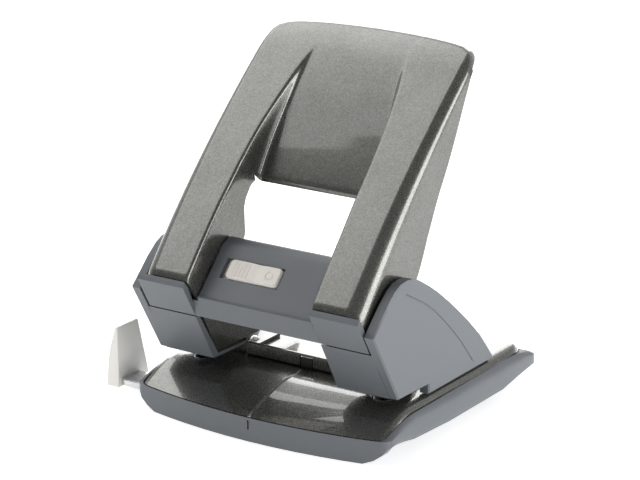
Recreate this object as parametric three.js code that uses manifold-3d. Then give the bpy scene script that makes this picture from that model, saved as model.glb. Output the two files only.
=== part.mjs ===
// Two-hole desk punch: steel base plate on a plastic chip tray, two punch towers with plastic side covers,
// a pressed steel handle with a plastic insert and lock slider, and a paper guide. Millimetres, +Z up,
// +X to the right of someone feeding paper, +Y away from them. Drawn with y = 0 at the towers' front foot;
// the group then moves so that the origin lies under the middle of the front lip, on the resting plane.
import * as THREE from "three";
import { mergeVertices } from "three/addons/utils/BufferGeometryUtils.js";
import Module from "manifold-3d";

const wasm = await Module();
wasm.setup();

// ---------------------------------------------------------------- driving dimensions, mm
const ORIGIN_SHIFT = 12;
const GAP = 0.3; // clearance where pieces rest or slide on one another
const FIT = 0.12; // clearance of a pin in its bore
const PIN_X = 40; // half of the 80 mm hole spacing
const PIN_Y = 11; // hole centres, about 11 mm in front of the paper stop
const PIN_RADIUS = 2.75;

const PLATE_TOP = 16.3;
const PLATE_EDGE = 14;
const PLATE_FRONT_Z = 9.4;
const PLATE_THICK = 1.2;
const PLATE_HALF = 53.3;
const PLATE_ROLL = 4; // width of the rolled-down border
const RAMP_END_Y = 9;
const FRONT_Y = -10.6; // front edge at the corners
const FRONT_BULGE = 6.2;
const REAR_Y = 93; // plate's rear edge on the centre line
const REAR_SWEEP = 6;

const RIVET_RADIUS = 1.6; // rivets that hold the punch brackets on the plate
const RIVET_Y = 33;
const RIVETS = [
  ["rivet_inner", 33],
  ["rivet_outer", 41],
];

const TRAY_HALF = 56.1; // at the belly of the side walls
const TRAY_INNER = 51.8;
const TRAY_CORNER = 5;
const TRAY_WALL = 2;
const TRAY_UNDER = 2.8; // height of the side walls' lower edge
const TRAY_REAR_Y = 97.4;

const COVER_OUT = 52.8;
const COVER_IN = 48.9;
const COVER_RIM_X = 52.45; // outer face at the rim, a little inside the flat middle
const TOWER_IN = 27.4;
const SEAM = [-10.5, 40.7]; // y, z of the joint between tower front and handle insert

const PIVOT = [-4, 46]; // y, z of the handle's pivot
const PIVOT_RADIUS = 2.5;
const ROLLER = [11, 53.5]; // y, z of the bar that presses the punch pin
const ROLLER_RADIUS = 2.5;

const ARM_TILT = THREE.MathUtils.degToRad(43.26);
const ARM_START = [-15.5, 56]; // y, z of the arm line at its front
const ARM_LENGTH = 118;
const ARM_HALF_LOW = 47.5;
const ARM_HALF_HIGH = 45.2;
const SHELL_THICK = 1.2;
const EDGE_RADIUS = 4.5;
const WINDOW_END = 49.4; // where the sunken middle panel starts, along the arm

// ---------------------------------------------------------------- materials
const material = (name, colour, roughness, metalness) =>
  Object.assign(new THREE.MeshStandardMaterial({ color: colour, roughness, metalness }), { name });
const PAINT = material("olive_grey_paint", 0x8f8f86, 0.28, 0.6);
const SLATE = material("slate_plastic", 0x6a6f73, 0.6, 0);
const BLACK = material("black_rubber", 0x202122, 0.85, 0);
const STEEL = material("bright_steel", 0xb9bcbe, 0.3, 1);
const SPRING_STEEL = material("spring_steel", 0x8d9092, 0.35, 1);
const CREAM = material("cream_plastic", 0xebe4dc, 0.5, 0);
const IVORY = material("ivory_plastic", 0xd0ccc4, 0.55, 0);
const COAL = material("coal_plastic", 0x2b2c2e, 0.6, 0);

// ---------------------------------------------------------------- solid helpers
function solid(geometry) {
  const bare = geometry.index ? geometry.toNonIndexed() : geometry.clone();
  bare.deleteAttribute("normal");
  bare.deleteAttribute("uv");
  const merged = mergeVertices(bare, 1e-4);
  return new wasm.Manifold(
    new wasm.Mesh({
      numProp: 3,
      vertProperties: merged.attributes.position.array,
      triVerts: new Uint32Array(merged.index.array),
    }),
  );
}

function geometryOf(manifold) {
  const mesh = manifold.getMesh();
  const positions = [];
  for (let v = 0; v < mesh.vertProperties.length; v += mesh.numProp) {
    positions.push(mesh.vertProperties[v], mesh.vertProperties[v + 1], mesh.vertProperties[v + 2]);
  }
  const made = new THREE.BufferGeometry();
  made.setAttribute("position", new THREE.Float32BufferAttribute(positions, 3));
  made.setIndex([...mesh.triVerts]);
  return made;
}

const union = (...parts) => parts.reduce((sum, part) => sum.add(part));
const cut = (body, ...tools) => tools.reduce((left, tool) => left.subtract(tool), body);

function box(x0, x1, y0, y1, z0, z1) {
  const made = new THREE.BoxGeometry(x1 - x0, y1 - y0, z1 - z0);
  return solid(made.translate((x0 + x1) / 2, (y0 + y1) / 2, (z0 + z1) / 2));
}

// A polygon of [y, z] pairs extruded along X.
function prismX(outline, x0, x1) {
  const shape = new THREE.Shape(outline.map(([y, z]) => new THREE.Vector2(y, z)));
  const made = new THREE.ExtrudeGeometry(shape, { depth: x1 - x0, bevelEnabled: false });
  made.applyMatrix4(new THREE.Matrix4().set(0, 0, 1, x0, 1, 0, 0, 0, 0, 1, 0, 0, 0, 0, 0, 1));
  return solid(made);
}

// A polygon of [x, z] pairs extruded along Y.
function prismY(outline, y0, y1) {
  const shape = new THREE.Shape(outline.map(([x, z]) => new THREE.Vector2(x, z)));
  const made = new THREE.ExtrudeGeometry(shape, { depth: y1 - y0, bevelEnabled: false });
  made.applyMatrix4(new THREE.Matrix4().set(1, 0, 0, 0, 0, 0, -1, y1, 0, 1, 0, 0, 0, 0, 0, 1));
  return solid(made);
}

// A polygon of [x, y] pairs extruded up Z.
function prismZ(outline, z0, z1) {
  const shape = new THREE.Shape(outline.map(([x, y]) => new THREE.Vector2(x, y)));
  return solid(new THREE.ExtrudeGeometry(shape, { depth: z1 - z0, bevelEnabled: false }).translate(0, 0, z0));
}

function rodX(radius, x0, x1, y, z, facets = 24) {
  const made = new THREE.CylinderGeometry(radius, radius, x1 - x0, facets);
  return solid(made.rotateZ(Math.PI / 2).translate((x0 + x1) / 2, y, z));
}

function rodZ(radius, x, y, z0, z1, facets = 24) {
  const made = new THREE.CylinderGeometry(radius, radius, z1 - z0, facets);
  return solid(made.rotateX(Math.PI / 2).translate(x, y, (z0 + z1) / 2));
}

// A solid of revolution about a vertical line, from [radius, z] pairs.
function turned(profile, x, y, facets = 32) {
  const made = new THREE.LatheGeometry(profile.map(([r, z]) => new THREE.Vector2(r, z)), facets);
  return solid(made.rotateX(Math.PI / 2).translate(x, y, 0));
}

function mirrored(geometry) {
  const made = geometry.clone().scale(-1, 1, 1);
  const order = [...made.index.array];
  for (let i = 0; i < order.length; i += 3) {
    [order[i + 1], order[i + 2]] = [order[i + 2], order[i + 1]];
  }
  made.setIndex(order);
  return made;
}

// A body made of rings with equal point counts, closed by a flat cap at each end; `flat` turns a ring's
// points into the plane of the caps.
const seenAlongX = (p) => new THREE.Vector2(p.y, p.z);
const seenAlongY = (p) => new THREE.Vector2(p.z, p.x);
function loft(rings, flat) {
  const count = rings[0].length;
  const points = rings.flat();
  const faces = [];
  for (let r = 0; r + 1 < rings.length; r += 1) {
    for (let i = 0; i < count; i += 1) {
      const a = r * count + i;
      const b = r * count + ((i + 1) % count);
      faces.push(a, b, b + count, a, b + count, a + count);
    }
  }
  const last = (rings.length - 1) * count;
  for (const [a, b, c] of THREE.ShapeUtils.triangulateShape(rings[0].map(flat), [])) faces.push(c, b, a);
  for (const [a, b, c] of THREE.ShapeUtils.triangulateShape(rings.at(-1).map(flat), [])) {
    faces.push(last + a, last + b, last + c);
  }
  const made = new THREE.BufferGeometry().setFromPoints(points);
  made.setIndex(faces);
  return solid(made);
}

// Pressed sheet: a grid of points on the upper face, thickened along its own normals; cells where
// present(column, row) is false are left open.
function sheet(grid, thickness, present) {
  const columns = grid.length;
  const rows = grid[0].length;
  const has = (i, j) => i >= 0 && j >= 0 && i < columns - 1 && j < rows - 1 && present(i, j);
  const used = (i, j) => has(i, j) || has(i - 1, j) || has(i, j - 1) || has(i - 1, j - 1);
  const cellNormal = (i, j) =>
    grid[i + 1][j + 1].clone().sub(grid[i][j]).cross(grid[i][j + 1].clone().sub(grid[i + 1][j])).normalize();
  const under = grid.map((line, i) =>
    line.map((point, j) => {
      const sum = new THREE.Vector3();
      for (const [a, b] of [[i, j], [i - 1, j], [i, j - 1], [i - 1, j - 1]]) {
        if (has(a, b)) sum.add(cellNormal(a, b));
      }
      return used(i, j) ? point.clone().addScaledVector(sum.normalize(), -thickness) : point.clone();
    }),
  );
  const top = (i, j) => i * rows + j;
  const low = (i, j) => columns * rows + i * rows + j;
  const faces = [];
  const quad = (a, b, c, d) => faces.push(a, b, c, a, c, d);
  for (let i = 0; i < columns - 1; i += 1) {
    for (let j = 0; j < rows - 1; j += 1) {
      if (!has(i, j)) continue;
      quad(top(i, j), top(i + 1, j), top(i + 1, j + 1), top(i, j + 1));
      quad(low(i, j), low(i, j + 1), low(i + 1, j + 1), low(i + 1, j));
      if (!has(i, j - 1)) quad(top(i, j), low(i, j), low(i + 1, j), top(i + 1, j));
      if (!has(i, j + 1)) quad(top(i + 1, j + 1), low(i + 1, j + 1), low(i, j + 1), top(i, j + 1));
      if (!has(i - 1, j)) quad(top(i, j + 1), low(i, j + 1), low(i, j), top(i, j));
      if (!has(i + 1, j)) quad(top(i + 1, j), low(i + 1, j), low(i + 1, j + 1), top(i + 1, j + 1));
    }
  }
  const made = new THREE.BufferGeometry().setFromPoints([...grid.flat(), ...under.flat()]);
  made.setIndex(faces);
  return solid(made);
}

const group = new THREE.Group();
group.name = "hole_punch";
group.position.y = ORIGIN_SHIFT;
function place(name, geometry, finish) {
  const mesh = new THREE.Mesh(geometry, finish);
  mesh.name = name;
  group.add(mesh);
}
function placePair(stem, geometry, finish) {
  place(stem + "_right", geometry, finish);
  place(stem + "_left", mirrored(geometry), finish);
}

const lerp = THREE.MathUtils.lerp;
const clamp = THREE.MathUtils.clamp;

// Height of a table of [position, value] pairs read at one position, straight between the pairs.
function along(table, at) {
  if (at <= table[0][0]) return table[0][1];
  for (let i = 1; i < table.length; i += 1) {
    const [x0, v0] = table[i - 1];
    const [x1, v1] = table[i];
    if (at <= x1) return lerp(v0, v1, (at - x0) / (x1 - x0));
  }
  return table.at(-1)[1];
}

// ---------------------------------------------------------------- base plate
const CORNER = 4;
const cornerDrop = (x, half) => {
  const over = clamp((Math.abs(x) - (half - CORNER)) / CORNER, 0, 1);
  return CORNER * (1 - Math.sqrt(1 - over * over * 0.98));
};
const frontY = (x) => FRONT_Y - FRONT_BULGE * (1 - (x / 52) ** 2) + 0.6 * cornerDrop(x, PLATE_HALF);
const rearY = (x) => REAR_Y - REAR_SWEEP * (x / 52) ** 2 - cornerDrop(x, PLATE_HALF);

const BEAD_HALF = 0.9;
const BEAD_RISE = 0.45;
const BEAD_END = 15;
function plateZ(x, y) {
  const t = clamp((y - frontY(x)) / (RAMP_END_Y - frontY(x)), 0, 1);
  const ramp = 1 - (1 - t) ** 1.6;
  const roll = clamp((Math.abs(x) - (PLATE_HALF - PLATE_ROLL)) / PLATE_ROLL, 0, 1);
  const tail = clamp((y - (rearY(x) - PLATE_ROLL)) / PLATE_ROLL, 0, 1);
  const away = Math.min(1, Math.hypot(roll, tail));
  const drop = (PLATE_TOP - PLATE_EDGE) * ramp * (1 - Math.sqrt(1 - away * away));
  const bead = Math.abs(x) < BEAD_HALF && y < BEAD_END ? BEAD_RISE * (1 - Math.abs(x) / BEAD_HALF) * t : 0;
  return PLATE_FRONT_Z + (PLATE_TOP - PLATE_FRONT_Z) * ramp - drop + bead;
}

const PLATE_XS = [
  -53.3, -53, -52.2, -51.2, -50, -48.8, -44, -36, -28, -20, -12, -6, -1.6, -0.9, 0,
];
const plateColumns = [...PLATE_XS, ...PLATE_XS.slice(0, -1).map((x) => -x).reverse()];
const RAMP_ROWS = 7;
const FLAT_ROWS = [19.6, 40, 70];
function plateRow(x, k) {
  if (k <= RAMP_ROWS) return lerp(frontY(x), RAMP_END_Y, k / RAMP_ROWS);
  const flat = k - RAMP_ROWS - 1;
  if (flat < FLAT_ROWS.length) return FLAT_ROWS[flat];
  const tail = flat - FLAT_ROWS.length;
  return rearY(x) - [4.2, 2.8, 1.6, 0.7, 0.15, 0][tail];
}
const PLATE_ROW_COUNT = RAMP_ROWS + 1 + FLAT_ROWS.length + 6;
const plateGrid = plateColumns.map((x) =>
  Array.from({ length: PLATE_ROW_COUNT }, (_, k) => {
    const y = plateRow(x, k);
    return new THREE.Vector3(x, y, plateZ(x, y));
  }),
);
const DIE_RADIUS = 3.9;
let plate = sheet(plateGrid, PLATE_THICK, () => true);
for (const side of [-1, 1]) {
  plate = cut(plate, rodZ(DIE_RADIUS + FIT, side * PIN_X, PIN_Y, 10, 20, 32));
  for (const [, x] of RIVETS) plate = cut(plate, rodZ(RIVET_RADIUS + FIT, side * x, RIVET_Y, 10, 20, 20));
}
const TAB_HALF = 2.6;
plate = cut(plate, box(-TAB_HALF - GAP, TAB_HALF + GAP, 19.4, 23.6, 10, 20));
place("base_plate", geometryOf(plate), PAINT);

// ---------------------------------------------------------------- dies, flush with the plate's top
placePair(
  "die",
  geometryOf(
    turned(
      [
        [PIN_RADIUS + FIT, 12.4],
        [DIE_RADIUS, 12.4],
        [DIE_RADIUS, PLATE_TOP - 0.25],
        [DIE_RADIUS - 0.25, PLATE_TOP],
        [PIN_RADIUS + FIT, PLATE_TOP],
        [PIN_RADIUS + FIT, 12.4],
      ],
      PIN_X,
      PIN_Y,
    ),
  ),
  STEEL,
);

// ---------------------------------------------------------------- chip tray
// Plan outline, front to rear on the right and back along the left, for walls `half` from the middle;
// `inset` moves the front and the rear inwards.
function trayOutline(half, inset) {
  const right = [];
  const cornerX = half - TRAY_CORNER;
  const lipY = (x) => FRONT_Y - 0.4 - FRONT_BULGE * (1 - (x / 52) ** 2) + inset;
  for (const x of [0, 10, 20, 30, 38, 45, cornerX]) right.push([x, lipY(x)]);
  for (const degrees of [22.5, 45, 67.5, 90]) {
    const angle = THREE.MathUtils.degToRad(degrees);
    const forward = TRAY_CORNER * (1 - Math.cos(angle));
    right.push([cornerX + TRAY_CORNER * Math.sin(angle), lipY(cornerX) + forward]);
  }
  for (const [dx, y] of [[0, 20], [0, 60], [0, 84], [0.3, 90], [0.9, 92.8], [2.2, 94.8], [5, 95.8]]) {
    right.push([half - dx, y - (y > 60 ? inset : 0)]);
  }
  for (const [x, y] of [[42, 96.4], [28, 96.9], [14, 97.3]]) right.push([x, y - inset]);
  const left = right.slice(1).map(([x, y]) => [-x, y]).reverse();
  return [...right, [0, TRAY_REAR_Y - inset], ...left];
}
const RIM_DROP = PLATE_THICK + GAP;
function edgeZ(y) {
  const t = clamp((y - FRONT_Y) / (RAMP_END_Y - FRONT_Y), 0, 1);
  return PLATE_FRONT_Z + (PLATE_EDGE - PLATE_FRONT_Z) * (1 - (1 - t) ** 1.6);
}
const UNDER_RUN = [
  [-20, 0], [-6.5, 0], [-5.2, 2.2], [-3.5, TRAY_UNDER], [72, TRAY_UNDER], [81, 4.3], [92, 5.8],
  [99, 7.4],
];
const SIDE_FOOT_RUN = [
  [-20, 6.3], [-1, 6.3], [7.5, 4.6], [32, 3.4], [70, 3.4], [80, 5], [92, 6.5], [99, 7.6],
];
const TOP_REAR_RUN = [[9, 13.7], [84, 13.7], [90, 12.6], [93, 11.2], [96.5, 8.9], [99, 7.9]];
const trayTop = (y) => (y < 9 ? edgeZ(y) - 0.25 : along(TOP_REAR_RUN, y));
// The side wall's section: half-width at each share of the height from its foot to the top edge.
const SIDE_BELLY = [[0, 55], [0.25, 56], [0.55, TRAY_HALF], [0.78, 55.7], [0.92, 54.9], [1, 53.7]];
const UNDER_CURVE = [[46, 0], [50, 0.25], [53, 0.6]]; // half-width, share of the rise to the foot
function traySection(y) {
  const under = along(UNDER_RUN, y);
  const foot = along(SIDE_FOOT_RUN, y);
  const right = UNDER_CURVE.map(([x, share]) => [x, lerp(under, foot, share)]);
  for (const [share, x] of SIDE_BELLY) right.push([x, lerp(foot, trayTop(y), share)]);
  const left = right.map(([x, z]) => [-x, z]).reverse();
  return [...right, ...left].reverse().map(([x, z]) => new THREE.Vector3(x, y, z));
}
const SECTION_ROWS = [
  -20, -10.6, -9, -6.5, -5.2, -3.5, -1, 1, 4, 7.5, 9, 32, 70, 72, 81, 84, 90, 93, 96.5, 99,
];
const RAIL_Y0 = -0.2;
const RAIL_Y1 = 11;
const RAIL_Z0 = 1.6;
const RAIL_Z1 = 4.3;
const CHANNEL_ROOF = 1.6;
const trayPlan = prismZ(trayOutline(TRAY_HALF + 0.1, 0), -1, 20);
let tray = loft(SECTION_ROWS.map(traySection), seenAlongY).intersect(trayPlan);
const cavityFloor = TRAY_UNDER + TRAY_WALL;
const floorProfile = [
  [-20, cavityFloor],
  [72, cavityFloor],
  [81, cavityFloor + 1.5],
  [92, cavityFloor + 3],
  [99, cavityFloor + 4.6],
  [99, 30],
  [-20, 30],
];
const cavityPlan = prismZ(trayOutline(TRAY_INNER, TRAY_WALL), 0, 30);
const cavity = cavityPlan.intersect(prismX(floorProfile, -60, 60));
const channelRoof = box(-58, 58, RAIL_Y0 - GAP - 2, RAIL_Y1 + GAP + 2, 0, RAIL_Z1 + GAP + CHANNEL_ROOF);
tray = cut(tray, cavity.subtract(channelRoof));
// The plate hangs inside the rim: the rim's inner side is stepped back for the plate's rolled border.
const SEAT_SCALE = 1 + GAP / PLATE_HALF;
const plateSeat = prismZ(
  [
    ...plateColumns.map((x) => [x * SEAT_SCALE, frontY(x) - GAP]),
    ...plateColumns.map((x) => [x * SEAT_SCALE, rearY(x) + GAP]).reverse(),
  ],
  9.4 - RIM_DROP - 0.2,
  30,
);
const seatUnder = prismX(
  [
    [-20, PLATE_FRONT_Z - RIM_DROP - 0.35],
    ...[-10, -7, -3, 1, 5, 9].map((y) => [y, edgeZ(y) - RIM_DROP - 0.35]),
    [100, PLATE_EDGE - RIM_DROP - 0.35],
    [100, 30],
    [-20, 30],
  ],
  -60,
  60,
);
tray = cut(tray, plateSeat.intersect(seatUnder));
tray = cut(tray, box(-60, 44, RAIL_Y0 - GAP, RAIL_Y1 + GAP, -1, RAIL_Z1 + GAP));
tray = cut(tray, box(-0.35, 0.35, -20, -14.2, 4.6, 8.2));
const FOOT_Z = 2.9;
const feet = [
  ["foot_front_right", 43.8, 15.9],
  ["foot_front_left", -44, 19.7],
  ["foot_rear_right", 47, 64],
  ["foot_rear_left", -47, 64],
];
const FOOT_RADIUS = 4.3;
for (const [, x, y] of feet) tray = cut(tray, rodZ(1.6, x, y, 0, 12, 20));
place("tray", geometryOf(tray), SLATE);

for (const [name, x, y] of feet) {
  place(
    name,
    geometryOf(
      turned(
        [
          [0, 0],
          [FOOT_RADIUS - 0.9, 0],
          [FOOT_RADIUS - 0.2, 0.5],
          [FOOT_RADIUS, 1.3],
          [FOOT_RADIUS, TRAY_UNDER - 0.05],
          [1.45, TRAY_UNDER - 0.05],
          [1.45, FOOT_Z + 2.4],
          [0, FOOT_Z + 2.4],
        ],
        x,
        y,
        28,
      ),
    ),
    BLACK,
  );
}

// ---------------------------------------- tray tab standing in the paper stop's notch
const STOP_Y = 20.3;
place(
  "tray_tab",
  geometryOf(
    prismX(
      [
        [STOP_Y + 0.2, 12],
        [STOP_Y + 2.6, 12],
        [STOP_Y + 2.6, 19.4],
        [STOP_Y + 1.6, 20.3],
        [STOP_Y + 0.2, 20.3],
      ],
      -TAB_HALF,
      TAB_HALF,
    ),
  ),
  COAL,
);

// ---------------------------------------- paper stop: low folded wall between the towers
const STOP_TOP = 21.6;
const STOP_THICK = 1.2;
const STOP_FOOT = PLATE_TOP + 0.1;
let stop = prismX(
  [
    [STOP_Y, STOP_FOOT + 0.4],
    [STOP_Y + 0.5, STOP_FOOT],
    [STOP_Y + 9, STOP_FOOT],
    [STOP_Y + 9, STOP_FOOT + STOP_THICK],
    [STOP_Y + STOP_THICK + 0.4, STOP_FOOT + STOP_THICK],
    [STOP_Y + STOP_THICK, STOP_FOOT + STOP_THICK + 0.4],
    [STOP_Y + STOP_THICK, STOP_TOP],
    [STOP_Y + 0.3, STOP_TOP],
    [STOP_Y, STOP_TOP - 0.3],
  ],
  -TOWER_IN + GAP,
  TOWER_IN - GAP,
);
stop = cut(stop, box(-TAB_HALF - GAP, TAB_HALF + GAP, STOP_Y - 1, STOP_Y + 4, 10, 20.7));
place("paper_stop", geometryOf(stop), PAINT);

// ---------------------------------------- side covers (the right one; the left is its mirror)
// Each line: rim y, rim z, then y and z of the flat outer face's border next to that rim point.
const COVER_RIM = [
  [0.8, 21.1, 1.4, 21.5],
  [-15.4, 48.8, -14.8, 48.9],
  [-11.2, 53, -10.9, 52.4],
  [-6.1, 57.8, -5.8, 57.1],
  [-0.9, 61.8, -0.7, 60.6],
  [3, 63.6, 2.6, 60.7],
  [6.9, 63.9, 5.7, 59.2],
  [10.8, 63.4, 8.8, 57.5],
  [14.8, 61.9, 12.4, 55.6],
  [21.5, 57.9, 18.2, 52.2],
  [28.3, 53.3, 24.6, 47.7],
  [35.2, 48, 31, 42.2],
  [42.2, 42.3, 37.6, 36],
  [49.3, 36.2, 44, 29.4],
  [56.6, 29.3, 49.3, 23],
  [61, 24.2, 52.4, 19.3],
  [64, 20.6, 53.9, 17.9],
  [66.4, 17.6, 54.6, 17.45],
  [65.8, 16.8, 54.1, 17.25],
  [21.2, 16.8, 21.8, 17.25],
  [21.2, 20.6, 21.8, 21],
];
const rimRing = (pick) => COVER_RIM.map(pick).reverse();
let cover = loft(
  [
    rimRing(([y, z]) => new THREE.Vector3(COVER_IN, y, z)),
    rimRing(([y, z]) => new THREE.Vector3(COVER_RIM_X, y, z)),
    rimRing(([, , y, z]) => new THREE.Vector3(COVER_OUT, y, z)),
  ],
  seenAlongX,
);
const SLAB = 2.1;
const SEAM_GAP = 0.25;
const frontLean = SEAM[0] / (SEAM[1] - 21.5);
const slabTop = SEAM[1] - SEAM_GAP;
const slabTopY = (slabTop - 21.5) * frontLean;
const frontSlab = prismX(
  [
    [0.1, 21.2],
    [21.1, 20.65],
    [21.1, 21.6],
    [SLAB + 0.9, 22.3],
    [slabTopY + SLAB, slabTop],
    [slabTopY, slabTop],
  ],
  TOWER_IN,
  COVER_IN + 0.2,
);
cover = cut(union(cover, frontSlab), rodZ(3.4, PIN_X, PIN_Y, 18, 26, 28));
placePair("cover", geometryOf(cover), SLATE);

// ---------------------------------------------------------------- punch brackets inside the towers
const BRACKET_THICK = 1.2;
const WALL_IN = TOWER_IN + GAP;
const WALL_OUT = 44.4;
const FLOOR_Z = 22.9;
const FLOOR_BACK = 21.6;
const FLANGE_BACK = 44;
const innerWall = prismX(
  [
    [2.8, FLOOR_Z],
    [56.5, FLOOR_Z],
    [53.5, 27.2],
    [46.5, 34],
    [38, 41.3],
    [28, 48.7],
    [19, 54.3],
    [12, 57.2],
    [4, 57.4],
    [-4, 55.2],
    [-8.6, 51.4],
    [-10.4, 46.5],
    [-8.2, 42.2],
    [-5.2, 38.4],
  ],
  WALL_IN,
  WALL_IN + BRACKET_THICK,
);
const outerWall = prismX(
  [
    [3.2, FLOOR_Z],
    [42, FLOOR_Z],
    [36, 33],
    [20, 39],
    [20, 40.6],
    [3.4, 40.6],
    [2.6, 46],
    [0, 51],
    [-4, 52.4],
    [-8, 50.6],
    [-9.6, 46],
    [-7, 41],
    [-3, 34],
  ],
  WALL_OUT,
  WALL_OUT + BRACKET_THICK,
);
const saddle = prismX(
  [
    [3.4, FLOOR_Z],
    [FLOOR_BACK, FLOOR_Z],
    [FLOOR_BACK, STOP_FOOT],
    [FLANGE_BACK, STOP_FOOT],
    [FLANGE_BACK, STOP_FOOT + BRACKET_THICK],
    [FLOOR_BACK + BRACKET_THICK, STOP_FOOT + BRACKET_THICK],
    [FLOOR_BACK + BRACKET_THICK, FLOOR_Z + BRACKET_THICK],
    [3.4, FLOOR_Z + BRACKET_THICK],
  ],
  WALL_IN + 0.4,
  WALL_OUT + 0.4,
);
const GUIDE_Z = 39.4;
const upperGuide = box(32, WALL_OUT + 0.4, 5, 18, GUIDE_Z, GUIDE_Z + BRACKET_THICK);
const pinBore = rodZ(PIN_RADIUS + FIT, PIN_X, PIN_Y, 18, 45);
const pivotBore = rodX(PIVOT_RADIUS + FIT, 20, 60, ...PIVOT);
// y, z where the slider's tongue stands with the handle down, and with it up
const LOCK_HOLES = [
  [5.3, 52.3],
  [0, 56.5],
];
const LOCK_HOLE_RADIUS = 3.4;
let bracket = cut(union(innerWall, outerWall, saddle, upperGuide), pinBore, pivotBore);
for (const [, x] of RIVETS) bracket = cut(bracket, rodZ(RIVET_RADIUS + FIT, x, RIVET_Y, 15, 19, 20));
place("bracket_right", geometryOf(bracket), PAINT);
const lockedBracket = cut(bracket, ...LOCK_HOLES.map((at) => rodX(LOCK_HOLE_RADIUS, 20, 32, ...at)));
place("bracket_left", mirrored(geometryOf(lockedBracket)), PAINT);

for (const [name, x] of RIVETS) {
  placePair(
    name,
    geometryOf(
      turned(
        [
          [0, STOP_FOOT + BRACKET_THICK + 1.3],
          [1.6, STOP_FOOT + BRACKET_THICK + 1],
          [2.7, STOP_FOOT + BRACKET_THICK + 0.05],
          [RIVET_RADIUS, STOP_FOOT + BRACKET_THICK + 0.05],
          [RIVET_RADIUS, PLATE_TOP - PLATE_THICK + 0.3],
          [0, PLATE_TOP - PLATE_THICK + 0.3],
        ].reverse(),
        x,
        RIVET_Y,
        20,
      ),
    ),
    STEEL,
  );
}

// ---------------------------------------------------------------- pivot pins
const pivotPin = union(
  rodX(PIVOT_RADIUS, 27.2, 47.8, ...PIVOT, 28),
  rodX(PIVOT_RADIUS + 1.1, 47.7, 48.5, ...PIVOT, 28),
);
placePair("pivot_pin", geometryOf(pivotPin), STEEL);

// ---------------------------------------- punch pins, springs and retaining rings
const PIN_TIP = 21.7;
const PIN_HEAD = 50.9;
placePair(
  "punch_pin",
  geometryOf(
    turned(
      [
        [0, PIN_TIP + 0.7],
        [PIN_RADIUS - 0.1, PIN_TIP],
        [PIN_RADIUS, PIN_TIP + 0.15],
        [PIN_RADIUS, PIN_HEAD - 1.2],
        [PIN_RADIUS - 0.4, PIN_HEAD - 0.4],
        [PIN_RADIUS - 1.3, PIN_HEAD],
        [0, PIN_HEAD],
      ],
      PIN_X,
      PIN_Y,
      28,
    ),
  ),
  STEEL,
);
const RING_Z = 38;
const RING_THICK = 0.9;
placePair(
  "retaining_ring",
  geometryOf(
    turned(
      [
        [PIN_RADIUS + 0.05, RING_Z],
        [4.1, RING_Z],
        [4.1, RING_Z + RING_THICK],
        [PIN_RADIUS + 0.05, RING_Z + RING_THICK],
        [PIN_RADIUS + 0.05, RING_Z],
      ],
      PIN_X,
      PIN_Y,
      28,
    ),
  ),
  SPRING_STEEL,
);

const WIRE = 0.45;
const COIL_RADIUS = 3.65;
const COIL_TURNS = 5;
const COIL_BASE = FLOOR_Z + BRACKET_THICK + WIRE + 0.05;
const COIL_TOP = RING_Z - WIRE - 0.05;
const WIRE_FACETS = 6;
const STEPS_PER_TURN = 14;
function coil(x, y) {
  const rings = [];
  for (let k = 0; k <= COIL_TURNS * STEPS_PER_TURN; k += 1) {
    const angle = (k / STEPS_PER_TURN) * Math.PI * 2;
    const t = k / (COIL_TURNS * STEPS_PER_TURN);
    const out = new THREE.Vector3(Math.cos(angle), Math.sin(angle), 0);
    const middle = new THREE.Vector3(x, y, lerp(COIL_BASE, COIL_TOP, t));
    const centre = middle.addScaledVector(out, COIL_RADIUS);
    const ring = [];
    for (let f = 0; f < WIRE_FACETS; f += 1) {
      const turn = (f / WIRE_FACETS) * Math.PI * 2;
      const lift = new THREE.Vector3(0, 0, WIRE * Math.sin(turn));
      ring.push(centre.clone().addScaledVector(out, WIRE * Math.cos(turn)).add(lift));
    }
    rings.push(ring);
  }
  return rings;
}
function capped(rings) {
  const count = rings[0].length;
  const faces = [];
  for (let r = 0; r + 1 < rings.length; r += 1) {
    for (let i = 0; i < count; i += 1) {
      const a = r * count + i;
      const b = r * count + ((i + 1) % count);
      faces.push(a, b + count, b, a, a + count, b + count);
    }
  }
  const last = (rings.length - 1) * count;
  for (let i = 1; i + 1 < count; i += 1) {
    faces.push(0, i, i + 1);
    faces.push(last, last + i + 1, last + i);
  }
  const made = new THREE.BufferGeometry().setFromPoints(rings.flat());
  made.setIndex(faces);
  return made;
}
placePair("return_spring", capped(coil(PIN_X, PIN_Y)), SPRING_STEEL);

// ---------------------------------------------------------------- handle shell: pressed sheet
// A point on the handle: x, distance up the arm, depth under the arm's straight reference line.
const armPoint = (x, up, depth) =>
  new THREE.Vector3(
    x,
    ARM_START[0] + up * Math.cos(ARM_TILT) + depth * Math.sin(ARM_TILT),
    ARM_START[1] + up * Math.sin(ARM_TILT) - depth * Math.cos(ARM_TILT),
  );
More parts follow.
